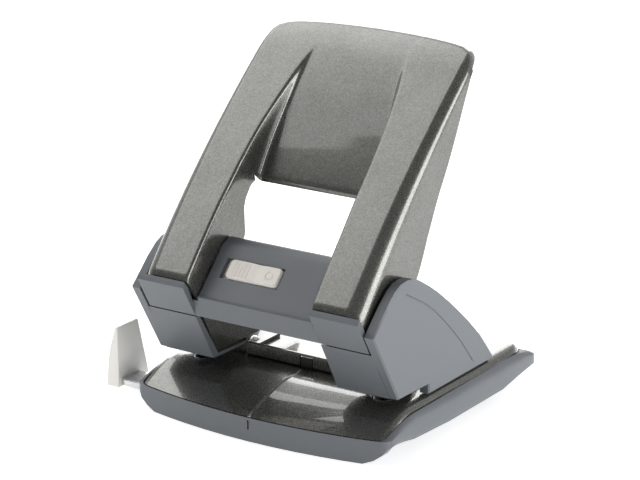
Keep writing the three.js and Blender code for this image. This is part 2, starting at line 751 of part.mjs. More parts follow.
// The arms rise over their reference line: most at mid-length. The end rises across its width and curls down.
const CROWN_AT = 57;
const CROWN_RISE = 4.1;
const CROWN_FALL = [3.6, 3.07]; // lost towards the front and towards the end
const END_CROWN = 1;
const CURL_AT = 101;
const CURL = 2.8;
function crown(up, x) {
  const t = (up - CROWN_AT) / CROWN_AT;
  const across = END_CROWN * (1 - (x / ARM_HALF_HIGH) ** 2) * THREE.MathUtils.smoothstep(up, 74, 104);
  const curl = CURL * Math.max(0, (up - CURL_AT) / (ARM_LENGTH - CURL_AT)) ** 2;
  return CROWN_FALL[up < CROWN_AT ? 0 : 1] * t * t - CROWN_RISE - across + curl;
}
const armHalf = (up) => lerp(ARM_HALF_LOW, ARM_HALF_HIGH, clamp(up / ARM_LENGTH, 0, 1));
const OUTER_DEPTH = [
  [-6, 15], [0, 17.5], [5, 22], [12, 26], [20, 27.3], [31, 26.2], [46.3, 22], [59.1, 18.3],
  [70.8, 15.5], [83.6, 11.3],
  [96.3, 6.5], [104, 4], [112, 3],
];
const PANEL_DEPTH = [
  [49.4, 12.6], [50.9, 11.3], [53.4, 10.9], [60, 10.2], [68, 8.5], [80, 4.6], [90, 2.2], [100, 0.3],
  [104, 0.05],
];
const WALL_DEPTH = [
  [-4, 8.4], [0, 9], [8, 12], [22, 18.6], [27, 20.4], [29.8, 20.1], [34, 16], [38, 12], [41.6, 10.7],
  [45.3, 10.4],
  [49.4, 12],
];
const END_REACH = [
  [0, 118.4], [14, 118.1], [27, 117.3], [36, 116.2], [41, 114.8], [43.6, 112.6], [45.2, 108.5],
];
// arm's flat meets its inner bend
const INNER_EDGE = [
  [0, 27.6], [50, 26.9], [62, 26.7], [84, 25.4], [103, 23.6],
];
const FRONT_LEAN = 0.242; // how far the front edge runs back per mm of depth

// The bend from the middle panel up to the arm's flat: shares of its width and of its height.
const BEND = [
  [0, 0], [0.22, 0.012], [0.36, 0.05], [0.455, 0.15], [0.5, 0.5], [0.545, 0.85], [0.64, 0.95],
  [0.78, 0.988], [1, 1],
];
const BEND_WALL = 3; // the bend's first column that carries on beside the window
const bendWidth = (up) => along([[0, 3.1], [28, 3.4], [50, 4.4], [62, 4.6], [104, 7.5]], up);
const ARM_ROUND = [0, 22.5, 45, 67.5, 90];
const WALL_SHARES = [0.3, 0.65, 1];
const PANEL_SHARES = [0, 0.4, 0.8];

function shellColumns() {
  const columns = [];
  for (const share of PANEL_SHARES) {
    columns.push((up) => [share * (along(INNER_EDGE, up) - bendWidth(up)), along(PANEL_DEPTH, up)]);
  }
  BEND.forEach(([across, rise], k) => {
    columns.push((up) => {
      const x = along(INNER_EDGE, up) - (1 - across) * bendWidth(up);
      if (up >= WINDOW_END || k < BEND_WALL) return [x, along(PANEL_DEPTH, up) * (1 - rise)];
      const share = (1 - rise) / (1 - BEND[BEND_WALL][1]);
      return [x, along(WALL_DEPTH, up) * share];
    });
  });
  const round = (up) => Math.min(EDGE_RADIUS, 0.7 * along(OUTER_DEPTH, up));
  for (const share of [0.5]) {
    columns.push((up) => [lerp(along(INNER_EDGE, up), armHalf(up) - round(up), share), 0]);
  }
  for (const degrees of ARM_ROUND) {
    const angle = THREE.MathUtils.degToRad(degrees);
    columns.push((up) => [
      armHalf(up) - round(up) * (1 - Math.sin(angle)),
      round(up) * (1 - Math.cos(angle)),
    ]);
  }
  for (const share of WALL_SHARES) {
    columns.push((up) => [armHalf(up) + 0.15 * share, lerp(round(up), along(OUTER_DEPTH, up), share)]);
  }
  return columns;
}
const ARM_ROWS = [
  -0.6, 4, 10, 17, 24, 27, 29.8, 34, 38, 41.6, 45.3, 49.4, 50.9, 53.4, 60, 68, 75, 82, 89, 95, 100,
  104, 108, 111.8,
];
const END_ROUND = 3.6;
const END_ANGLES = [0, 22.5, 45, 67.5, 90];
function shellRows(column) {
  const reach = (at) => along(END_REACH, Math.abs(column(at)[0]));
  const rows = ARM_ROWS.map((row) => {
    const depth = column(row)[1];
    const forward = FRONT_LEAN * depth * clamp(1 - (row + 0.6) / 24, 0, 1);
    const shift = (reach(104) - ARM_LENGTH - 0.4) * clamp((row - 84) / 27, 0, 1);
    const up = row - forward + shift;
    const [x, under] = column(up);
    return armPoint(x, up, crown(up, x) + under);
  });
  for (const degrees of END_ANGLES) {
    const angle = THREE.MathUtils.degToRad(degrees);
    const up = reach(104) - END_ROUND * (1 - Math.sin(angle));
    const [x, under] = column(up);
    const fall = Math.max(0, END_ROUND - under) * (1 - Math.cos(angle));
    rows.push(armPoint(x, up, crown(up, x) + under + fall));
  }
  return rows;
}
const halfColumns = shellColumns().map(shellRows);
const flip = (point) => new THREE.Vector3(-point.x, point.y, point.z);
const shellGrid = [
  ...halfColumns.slice(1).reverse().map((line) => line.map(flip)),
  ...halfColumns,
];
const centre = halfColumns.length - 1;
const windowRow = ARM_ROWS.indexOf(WINDOW_END);
const openHalf = PANEL_SHARES.length + BEND_WALL;
const inWindow = (i, j) => {
  const column = i < centre ? centre - 1 - i : i - centre;
  return column < openHalf && j < windowRow;
};
let shell = sheet(shellGrid, SHELL_THICK, (i, j) => !inWindow(i, j));
const ARM_BORES = [PIVOT, ROLLER];
for (const at of ARM_BORES) {
  for (const [from, to] of [[44, 60], [-60, -44]]) {
    shell = cut(shell, rodX(PIVOT_RADIUS + FIT, from, to, ...at, 24));
  }
}
// The lock slider's tongue passes through the left arm's inner wall.
const BRIDGE_START = [-12, 48.7]; // y, z of the bridge's front top edge
const BRIDGE_TILT = THREE.MathUtils.degToRad(45);
const bridgePoint = (up, over) => [
  BRIDGE_START[0] + up * Math.cos(BRIDGE_TILT) - over * Math.sin(BRIDGE_TILT),
  BRIDGE_START[1] + up * Math.sin(BRIDGE_TILT) + over * Math.cos(BRIDGE_TILT),
];
// A block on the bridge: x range, range up the slope, height range over its surface.
function bridgeBlock(x0, x1, up0, up1, over0, over1) {
  const corners = [[up0, over0], [up1, over0], [up1, over1], [up0, over1]];
  return prismX(corners.map((at) => bridgePoint(...at)), x0, x1);
}
const TONGUE = { up0: 11.6, up1: 16, over0: -3.7, over1: -2.4 };
shell = cut(
  shell,
  bridgeBlock(-28, -24, TONGUE.up0 - 0.6, TONGUE.up1 + 0.6, TONGUE.over0 - 0.6, TONGUE.over1 + 0.6),
);
place("handle_shell", geometryOf(shell), PAINT);

// ---------------------------------------- handle insert: front caps, bridge and ribs
const BRIDGE_HALF = 25;
const BRIDGE_THICK = 2;
const capFront = prismX(
  [
    [-10.65, 41],
    [-9.1, 41],
    [-14.9, 53],
    [-15.4, 53.7],
    [-15.9, 54.2],
    [-16.75, 55.5],
    [-17.5, 54.6],
    [-17.75, 53.4],
  ],
  TOWER_IN,
  48,
);
const bridgePanel = prismX(
  [
    [-10.65, 41],
    [-8.5, 41],
    [-9.4, 47.9],
    bridgePoint(2.2, -BRIDGE_THICK),
    bridgePoint(21.8, -BRIDGE_THICK),
    [6.4, 64],
    [9.2, 64.3],
    [10, 65.3],
    [9.4, 66.2],
    [7.6, 66.3],
    bridgePoint(22.6, 0),
    bridgePoint(0.9, 0),
    [-11.9, 49.4],
    [-12.25, 48.8],
    [-11.9, 47.2],
  ],
  -BRIDGE_HALF,
  BRIDGE_HALF,
);
const frontLink = prismX(
  [
    [-10.65, 41],
    [-8.5, 41],
    [-9.3, 47.4],
    [-11.9, 47.4],
  ],
  -TOWER_IN - 0.1,
  TOWER_IN + 0.1,
);
const RIB_IN = 29.3;
const RIB_OUT = 31;
const rib = prismX(
  [
    [-10.2, 42.4],
    [-6, 39.9],
    [0, 40.4],
    [8, 50.4],
    [14, 50.4],
    [15.8, 53.5],
    [14.6, 60],
    [8, 68],
    [1, 66],
    [-8.5, 57],
    [-15, 53.2],
    [-14.8, 52],
  ],
  RIB_IN,
  RIB_OUT,
);
let insert = union(bridgePanel, frontLink, solid(geometryOf(capFront)), rib);
insert = union(insert, solid(mirrored(geometryOf(capFront))), solid(mirrored(geometryOf(rib))));
for (const at of ARM_BORES) {
  insert = cut(insert, rodX(PIVOT_RADIUS + FIT, -60, 60, ...at, 24));
}
const SLOT_X0 = -20.4;
const SLOT_X1 = 5;
const SLOT_UP0 = 9.4;
const SLOT_UP1 = 17.8;
insert = cut(insert, bridgeBlock(SLOT_X0, SLOT_X1, SLOT_UP0, SLOT_UP1, -5, 5));
place("handle_insert", geometryOf(insert), SLATE);

// ---------------------------------------------------------------- press rollers, one in each arm
const rollerBar = union(
  rodX(ROLLER_RADIUS, 28.9, 47.9, ...ROLLER, 24),
  rodX(ROLLER_RADIUS + 0.8, 47.7, 48.4, ...ROLLER, 24),
);
placePair("press_roller", geometryOf(rollerBar), STEEL);

// ---------------------------------------------------------------- lock slider
const SLIDER_X0 = -17.9;
const SLIDER_X1 = 4.6;
const SLIDER_RISE = 0.7;
const SLIDER_CHAMFER = 0.5;
const GRIP_COUNT = 5;
const GRIP_PITCH = 1.7;
const sliderBody = prismX(
  [
    bridgePoint(SLOT_UP0 + GAP, -BRIDGE_THICK - 1),
    bridgePoint(SLOT_UP1 - GAP, -BRIDGE_THICK - 1),
    bridgePoint(SLOT_UP1 - GAP, SLIDER_RISE - SLIDER_CHAMFER),
    bridgePoint(SLOT_UP1 - GAP - SLIDER_CHAMFER, SLIDER_RISE),
    bridgePoint(SLOT_UP0 + GAP + SLIDER_CHAMFER, SLIDER_RISE),
    bridgePoint(SLOT_UP0 + GAP, SLIDER_RISE - SLIDER_CHAMFER),
  ],
  SLIDER_X0,
  SLIDER_X1,
);
const FOOT_TOP = -BRIDGE_THICK - 0.3;
const sliderFoot = bridgeBlock(-22.2, 8.5, SLOT_UP0 - 3.5, SLOT_UP1 + 3, FOOT_TOP - 1.5, FOOT_TOP);
const tongue = bridgeBlock(-26.9, -21.5, TONGUE.up0, TONGUE.up1, TONGUE.over0, TONGUE.over1);
let slider = union(sliderBody, sliderFoot, tongue);
for (let k = 0; k < GRIP_COUNT; k += 1) {
  const x = SLIDER_X0 + 1.5 + k * GRIP_PITCH;
  slider = cut(slider, bridgeBlock(x, x + 0.7, SLOT_UP0 + 1.2, SLOT_UP1 - 1.2, SLIDER_RISE - 0.5, 4));
}
place("lock_slider", geometryOf(slider), CREAM);

// ---------------------------------------------------------------- paper guide: rail, stop and keeper
const RAIL_X0 = -70.6;
const RAIL_X1 = 24;
const RAIL_WALL = 0.8;
place(
  "guide_rail",
  geometryOf(
    prismX(
      [
        [RAIL_Y0, RAIL_Z0],
        [RAIL_Y0 + RAIL_WALL, RAIL_Z0],
        [RAIL_Y0 + RAIL_WALL, RAIL_Z1 - RAIL_WALL],
        [RAIL_Y1 - RAIL_WALL, RAIL_Z1 - RAIL_WALL],
        [RAIL_Y1 - RAIL_WALL, RAIL_Z0],
        [RAIL_Y1, RAIL_Z0],
        [RAIL_Y1, RAIL_Z1 - 0.3],
        [RAIL_Y1 - 0.3, RAIL_Z1],
        [RAIL_Y0 + 0.3, RAIL_Z1],
        [RAIL_Y0, RAIL_Z1 - 0.3],
      ],
      RAIL_X0,
      RAIL_X1,
    ),
  ),
  STEEL,
);
const STOP_FACE = RAIL_X0 - 0.1;
const stopSection = [
  [STOP_FACE, 1],
  [STOP_FACE, 25],
  [STOP_FACE - 0.9, 25.2],
  [STOP_FACE - 2.2, 22],
  [STOP_FACE - 3.7, 17],
  [STOP_FACE - 4.8, 11],
  [STOP_FACE - 5.4, 5],
  [STOP_FACE - 5.6, 1],
];
const stopSide = [
  [-2, 1],
  [16.6, 1],
  [16.6, 2.6],
  [11, 24.6],
  [10.4, 25.3],
  [-1.4, 25.3],
  [-2, 24.6],
];
place("guide_stop", geometryOf(prismY(stopSection, -4, 18).intersect(prismX(stopSide, -80, -60))), IVORY);

const KEEPER_X0 = -44;
const KEEPER_X1 = -28;
place(
  "guide_keeper",
  geometryOf(
    prismX(
      [
        [-4, 0.3],
        [15, 0.3],
        [15, TRAY_UNDER - 0.05],
        [RAIL_Y1 + GAP + 0.1, TRAY_UNDER - 0.05],
        [RAIL_Y1 + GAP + 0.1, RAIL_Z0 - GAP],
        [RAIL_Y0 - GAP - 0.1, RAIL_Z0 - GAP],
        [RAIL_Y0 - GAP - 0.1, TRAY_UNDER - 0.05],
        [-3.4, TRAY_UNDER - 0.05],
      ],
      KEEPER_X0,
      KEEPER_X1,
    ),
  ),
  COAL,
);
export default group;
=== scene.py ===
"""Looks of a two-hole desk punch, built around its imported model, in the model's own frame.

Shapes are worked out in millimetres, with y = 0 at the front foot of the punch towers, and put down in metres
in the frame, whose origin lies under the middle of the tray's front lip.
"""
import logging
import math
from contextlib import contextmanager
from dataclasses import dataclass
from enum import Enum
from typing import Callable, Iterable, Iterator, Mapping, Sequence

import bmesh
import bpy
import numpy as np
from mathutils import Matrix, Vector


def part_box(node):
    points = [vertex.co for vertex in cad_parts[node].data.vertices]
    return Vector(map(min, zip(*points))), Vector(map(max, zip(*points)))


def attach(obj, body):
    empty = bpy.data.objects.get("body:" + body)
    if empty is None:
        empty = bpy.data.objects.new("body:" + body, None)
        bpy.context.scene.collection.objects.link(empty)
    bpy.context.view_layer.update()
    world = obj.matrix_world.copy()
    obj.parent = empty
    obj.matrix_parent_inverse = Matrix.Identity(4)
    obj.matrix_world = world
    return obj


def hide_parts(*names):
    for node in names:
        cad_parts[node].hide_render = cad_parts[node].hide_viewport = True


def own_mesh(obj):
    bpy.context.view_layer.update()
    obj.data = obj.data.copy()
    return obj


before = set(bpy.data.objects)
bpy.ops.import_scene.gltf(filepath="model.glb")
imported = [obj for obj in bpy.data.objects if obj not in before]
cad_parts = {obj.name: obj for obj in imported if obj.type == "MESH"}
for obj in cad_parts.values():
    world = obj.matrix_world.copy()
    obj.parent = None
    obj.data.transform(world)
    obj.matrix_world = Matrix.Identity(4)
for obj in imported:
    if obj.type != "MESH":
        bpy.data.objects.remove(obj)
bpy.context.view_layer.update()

LOG = logging.getLogger("hole_punch")
MM = 0.001
ORIGIN_SHIFT = 12.0
SAME_SPOT = 0.002

Number = float | int
Colour = tuple[float, float, float]
Point = tuple[float, float, float]
Spot = tuple[float, float]
Column = Callable[[float], Spot]


# ---------------------------------------------------------------- shader expressions
class Kind(Enum):
    """What a wrapped socket carries."""

    NUMBER = "number"
    COLOUR = "colour"
    VECTOR = "vector"


class Wire:
    """The output socket of a shader node, used like a value in an expression."""

    def __init__(self, graph: "Graph", socket: bpy.types.NodeSocket, kind: Kind) -> None:
        """Wraps a socket.

        Args:
            graph: The node tree that the node belongs to.
            socket: The output socket.
            kind: What the socket carries.
        """
        self.graph = graph
        self.socket = socket
        self.kind = kind

    def _with(
        self, operation: str, first: "Wire | Number | Point", second: "Wire | Number | Point"
    ) -> "Wire":
        """Adds the node for one operation on two values.

        Args:
            operation: The operation's name on a Math or Vector Math node.
            first: Left-hand value.
            second: Right-hand value.

        Returns:
            The result.
        """
        kind_of_node = "ShaderNodeVectorMath" if self.kind is Kind.VECTOR else "ShaderNodeMath"
        return self.graph.node(kind_of_node, {"operation": operation}, {0: first, 1: second}, kind=self.kind)

    def __add__(self, other: "Wire | Number") -> "Wire":
        """Sum of two values."""
        return self._with("ADD", self, other)

    def __radd__(self, other: Number) -> "Wire":
        """Sum with a plain number on the left."""
        return self._with("ADD", other, self)

    def __sub__(self, other: "Wire | Number") -> "Wire":
        """Difference of two values."""
        return self._with("SUBTRACT", self, other)

    def __rsub__(self, other: Number) -> "Wire":
        """Difference with a plain number on the left."""
        return self._with("SUBTRACT", other, self)

    def __mul__(self, other: "Wire | Number | Point") -> "Wire":
        """Product of two values."""
        return self._with("MULTIPLY", self, other)

    def __rmul__(self, other: Number) -> "Wire":
        """Product with a plain number on the left."""
        return self._with("MULTIPLY", other, self)


class Graph:
    """A node tree that nodes are added to."""

    def __init__(self, tree: bpy.types.NodeTree) -> None:
        """Starts on a node tree.

        Args:
            tree: The node tree.
        """
        self.tree = tree

    def node(
        self,
        kind_of_node: str,
        settings: Mapping[str, object] | None = None,
        values: Mapping[str | int, object] | None = None,
        output: str | int = 0,
        kind: Kind = Kind.NUMBER,
        stops: Sequence[tuple[float, Colour]] | None = None,
    ) -> Wire:
        """Adds any node.

        Args:
            kind_of_node: The node's type.
            settings: Its own settings, set before its sockets.
            values: Numbers, colours or wires for its input sockets, by name or number.
            output: The output socket wanted.
            kind: What that socket carries.
            stops: For a colour ramp, its positions and colours.

        Returns:
            The wanted output.
        """
        made = self.tree.nodes.new(kind_of_node)
        for key, value in (settings or {}).items():
            setattr(made, key, value)
        if stops:
            elements = made.color_ramp.elements
            while len(elements) < len(stops):
                elements.new(0.5)
            for element, (place, colour) in zip(elements, stops):
                element.position = place
                element.color = (*colour, 1.0)
        for key, value in (values or {}).items():
            self.feed(made.inputs[key], value)
        return Wire(self, made.outputs[output], kind)

    def feed(self, socket: bpy.types.NodeSocket, value: object) -> None:
        """Links a wire to a socket, or sets its plain value.

        Args:
            socket: The input socket.
            value: A wire, a number, a colour or a vector.
        """
        if isinstance(value, Wire):
            self.tree.links.new(value.socket, socket)
        elif isinstance(value, (tuple, list)) and len(value) == 3 and len(socket.default_value) == 4:
            socket.default_value = (*value, 1.0)
        else:
            socket.default_value = value


class Shader(Graph):
    """A material's node tree, with its surface shader in place."""

    def __init__(self, name: str) -> None:
        """Makes an empty material.

        Args:
            name: The material's name.
        """
        self.material = bpy.data.materials.new(name)
        self.material.use_nodes = True
        super().__init__(self.material.node_tree)
        self.surface = self.tree.nodes["Principled BSDF"]

    def blend(self, amount: Wire, first: Colour, second: Colour) -> Wire:
        """Blends two colours.

        Args:
            amount: How much of the second one, 0 to 1.
            first: The colour at 0.
            second: The colour at 1.

        Returns:
            The blended colour.
        """
        values = {0: amount, 6: first, 7: second}
        return self.node("ShaderNodeMix", {"data_type": "RGBA"}, values, output=2, kind=Kind.COLOUR)

    def place(self) -> Wire:
        """Where a point lies on its piece, in metres."""
        return self.node("ShaderNodeTexCoord", output="Object", kind=Kind.VECTOR)

    def noise(self, size_mm: float, detail: float, where: Wire | None = None) -> Wire:
        """Smooth noise.

        Args:
            size_mm: Size of its patches.
            detail: Octaves of finer noise.
            where: The place it is read at, or the point's own.

        Returns:
            Values around 0.5.
        """
        values = {"Vector": where or self.place(), "Scale": 1 / (size_mm * MM), "Detail": detail}
        return self.node("ShaderNodeTexNoise", {}, values)

    def cells(self, size_mm: float) -> Wire:
        """Irregular cells, each with its own random colour.

        Args:
            size_mm: Size of a cell.

        Returns:
            The cells' colour.
        """
        values = {"Vector": self.place(), "Scale": 1 / (size_mm * MM)}
        return self.node("ShaderNodeTexVoronoi", {}, values, output="Color", kind=Kind.COLOUR)

    def channel(self, colour: Wire) -> Wire:
        """The first channel of a colour, as a number."""
        return self.node("ShaderNodeSeparateColor", {}, {0: colour})

    def span(self, value: Wire, low: float, high: float, to_low: float, to_high: float) -> Wire:
        """Stretches a range of a value onto another range, held at its ends.

        Args:
            value: The value.
            low: Start of its range.
            high: End of its range.
            to_low: What the start becomes.
            to_high: What the end becomes.

        Returns:
            The stretched value.
        """
        values = {0: value, 1: low, 2: high, 3: to_low, 4: to_high}
        return self.node("ShaderNodeMapRange", {"clamp": True}, values)

    def bump(self, height: Wire, depth_mm: float, strength: float) -> Wire:
        """Turns a height into a surface normal.

        Args:
            height: Heights from 0 to 1.
            depth_mm: Depth of a height of 1.
            strength: How strongly it shows.

        Returns:
            The bent normal.
        """
        values = {"Height": height, "Distance": depth_mm * MM, "Strength": strength}
        return self.node("ShaderNodeBump", {}, values, kind=Kind.VECTOR)

    def set(self, **values: object) -> bpy.types.Material:
        """Sets the surface shader's sockets.

        Args:
            values: Values by socket name, with _ for a space.

        Returns:
            The finished material.
        """
        for name, value in values.items():
            self.feed(self.surface.inputs[name.replace("_", " ")], value)
        return self.material


# ---------------------------------------------------------------- finishes
@dataclass(frozen=True)
class MetallicPaint:
    """Stove enamel with fine metal flakes under a clear gloss coat."""

    name: str = "olive_grey_paint"
    light: Colour = (0.185, 0.185, 0.167)
    dark: Colour = (0.075, 0.075, 0.068)
    flake_mm: float = 0.34
    coat_roughness: float = 0.035

    def material(self) -> bpy.types.Material:
        """The paint as a material."""
        shader = Shader(self.name)
        flake = shader.channel(shader.cells(self.flake_mm))
        fine = shader.channel(shader.cells(self.flake_mm * 0.45))
        cloud = shader.noise(14.0, 3.0)
        sparkle = shader.span(flake * 0.6 + fine * 0.4, 0.2, 0.85, 0.0, 1.0)
        tone = shader.span(sparkle * 0.8 + cloud * 0.4, 0.15, 1.05, 0.0, 1.0)
        return shader.set(
            Base_Color=shader.blend(tone, self.dark, self.light),
            Metallic=0.72,
            Roughness=shader.span(fine, 0.0, 1.0, 0.22, 0.34),
            Normal=shader.bump(flake * 0.5 + fine * 0.5, 0.012, 0.35),
            Coat_Weight=shader.span(cloud, 0.2, 0.8, 0.86, 1.0),
            Coat_Roughness=self.coat_roughness,
            Coat_IOR=1.52,
        )


@dataclass(frozen=True)
class GrainedPlastic:
    """Moulded plastic with a fine spark-eroded grain."""

    name: str
    light: Colour
    dark: Colour
    roughness: float = 0.46
    grain_mm: float = 0.32
    grain_depth_mm: float = 0.02
    polish: float = 0.06

    def material(self) -> bpy.types.Material:
        """The plastic as a material."""
        shader = Shader(self.name)
        grain = shader.noise(self.grain_mm, 3.0)
        flow = shader.noise(18.0, 2.0)
        tone = shader.span(flow * 0.55 + grain * 0.45, 0.3, 0.7, 0.0, 1.0)
        rough = shader.span(flow, 0.3, 0.7, self.roughness - self.polish, self.roughness + self.polish)
        return shader.set(
            Base_Color=shader.blend(tone, self.dark, self.light),
            Roughness=rough,
            Normal=shader.bump(grain, self.grain_depth_mm, 0.5),
            IOR=1.5,
        )


@dataclass(frozen=True)
class GroundSteel:
    """Bright steel with fine drawing lines along one direction."""

    name: str
    light: Colour
    dark: Colour
    roughness: float = 0.24
    along: Point = (1.0, 40.0, 40.0)

    def material(self) -> bpy.types.Material:
        """The steel as a material."""
        shader = Shader(self.name)
        lines = shader.noise(9.0, 4.0, shader.place() * self.along)
        stain = shader.noise(7.0, 2.0)
        tone = shader.span(lines * 0.6 + stain * 0.4, 0.3, 0.7, 0.0, 1.0)
        return shader.set(
            Base_Color=shader.blend(tone, self.dark, self.light),
            Metallic=1.0,
            Roughness=shader.span(lines, 0.25, 0.75, self.roughness - 0.07, self.roughness + 0.1),
            Normal=shader.bump(lines, 0.006, 0.4),
        )


@dataclass(frozen=True)
class Rubber:
    """Matt moulded rubber."""

    name: str = "black_rubber"
    light: Colour = (0.035, 0.036, 0.038)
    dark: Colour = (0.014, 0.0145, 0.016)

    def material(self) -> bpy.types.Material:
        """The rubber as a material."""
        shader = Shader(self.name)
        speck = shader.noise(0.5, 4.0)
        bloom = shader.noise(6.0, 2.0)
        return shader.set(
            Base_Color=shader.blend(shader.span(bloom, 0.3, 0.7, 0.0, 1.0), self.dark, self.light),
            Roughness=shader.span(speck, 0.2, 0.8, 0.68, 0.9),
            Normal=shader.bump(speck, 0.04, 0.6),
        )


class Cut(Enum):
    """How a cutter is worked out of a piece."""

    THROUGH = "EXACT"
    SHALLOW = "FAST"


class Finish(Enum):
    """The finishes on the punch, by the record's slot name."""

    PAINT = "olive_grey_paint"
    SLATE = "slate_plastic"
    RUBBER = "black_rubber"
    STEEL = "bright_steel"
    WIRE = "spring_steel"
    CREAM = "cream_plastic"
    IVORY = "ivory_plastic"
    COAL = "coal_plastic"


class FinishShelf:
    """Makes each finish once and hands it out."""

    def __init__(self) -> None:
        """Mixes all the finishes."""
        finishes = (
            MetallicPaint(),
            GrainedPlastic("slate_plastic", (0.148, 0.162, 0.176), (0.124, 0.137, 0.150), roughness=0.40),
            Rubber(),
            GroundSteel("bright_steel", (0.72, 0.73, 0.74), (0.58, 0.59, 0.6)),
            GroundSteel("spring_steel", (0.48, 0.49, 0.5), (0.34, 0.35, 0.36), roughness=0.32),
            GrainedPlastic("cream_plastic", (0.96, 0.91, 0.85), (0.93, 0.875, 0.81), roughness=0.4),
            GrainedPlastic("ivory_plastic", (0.95, 0.93, 0.88), (0.92, 0.895, 0.84), roughness=0.45),
            GrainedPlastic("coal_plastic", (0.032, 0.034, 0.037), (0.02, 0.021, 0.024), roughness=0.4),
        )
        self.made = {Finish(finish.name): finish.material() for finish in finishes}

    def dress(self, piece: bpy.types.Object, finish: Finish) -> None:
        """Gives a piece one finish all over.

        Args:
            piece: The piece.
            finish: Its finish.
        """
        piece.data.materials.clear()
        piece.data.materials.append(self.made[finish])


# ---------------------------------------------------------------- curves and meshes
@dataclass(frozen=True)
class Track:
    """A smooth run of values through a few stations, which never overshoots between them."""

    stations: tuple[tuple[float, float], ...]

    def at(self, where: float) -> float:
        """The value at one place.

        Args:
            where: The place.

        Returns:
            The value, held level past the ends.
        """
        xs = [station[0] for station in self.stations]
        ys = [station[1] for station in self.stations]
        if where <= xs[0]:
            return ys[0]
        if where >= xs[-1]:
            return ys[-1]
        k = next(i for i in range(len(xs) - 1) if where <= xs[i + 1])
        slopes = [(ys[i + 1] - ys[i]) / (xs[i + 1] - xs[i]) for i in range(len(xs) - 1)]

        def tangent(i: int) -> float:
            """Slope at station i."""
            if i == 0 or i == len(xs) - 1:
                return slopes[0] if i == 0 else slopes[-1]
            before, after = slopes[i - 1], slopes[i]
            return 0.0 if before * after <= 0 else 2 * before * after / (before + after)

        width = xs[k + 1] - xs[k]
        t = (where - xs[k]) / width
        from_value = ys[k] * (1 + 2 * t) * (1 - t) ** 2 + ys[k + 1] * t * t * (3 - 2 * t)
        from_slope = width * (tangent(k) * t * (1 - t) ** 2 - tangent(k + 1) * t * t * (1 - t))
        return from_value + from_slope


def clamp(value: float, low: float = 0.0, high: float = 1.0) -> float:
    """A value held between two limits."""
    return max(low, min(high, value))


def lerp(first: float, second: float, share: float) -> float:
    """The value a share of the way from the first to the second."""
    return first + (second - first) * share


def smooth_share(value: float, low: float, high: float) -> float:
    """A smooth step from 0 at low to 1 at high."""
    t = clamp((value - low) / (high - low))
    return t * t * (3 - 2 * t)


def in_frame(point: Sequence[float]) -> Point:
    """A point in millimetres from the tower foot, as metres in the frame."""
    return (point[0] * MM, (point[1] + ORIGIN_SHIFT) * MM, point[2] * MM)


def stand(name: str, data: bpy.types.ID) -> bpy.types.Object:
    """Puts a mesh, light or camera into the scene.

    Args:
        name: The new object's name.
        data: What it shows.

    Returns:
        The new object.
    """
    made = bpy.data.objects.new(name, data)
    bpy.context.scene.collection.objects.link(made)
    return made


@contextmanager
def reshaped(mesh: bpy.types.Mesh) -> Iterator[bmesh.types.BMesh]:
    """Opens a mesh for reshaping and writes it back at the end.

    Args:
        mesh: The mesh.

    Returns:
        The open mesh, inside a with block.
    """
    body = bmesh.new()
    body.from_mesh(mesh)
    yield body
    body.to_mesh(mesh)
    body.free()


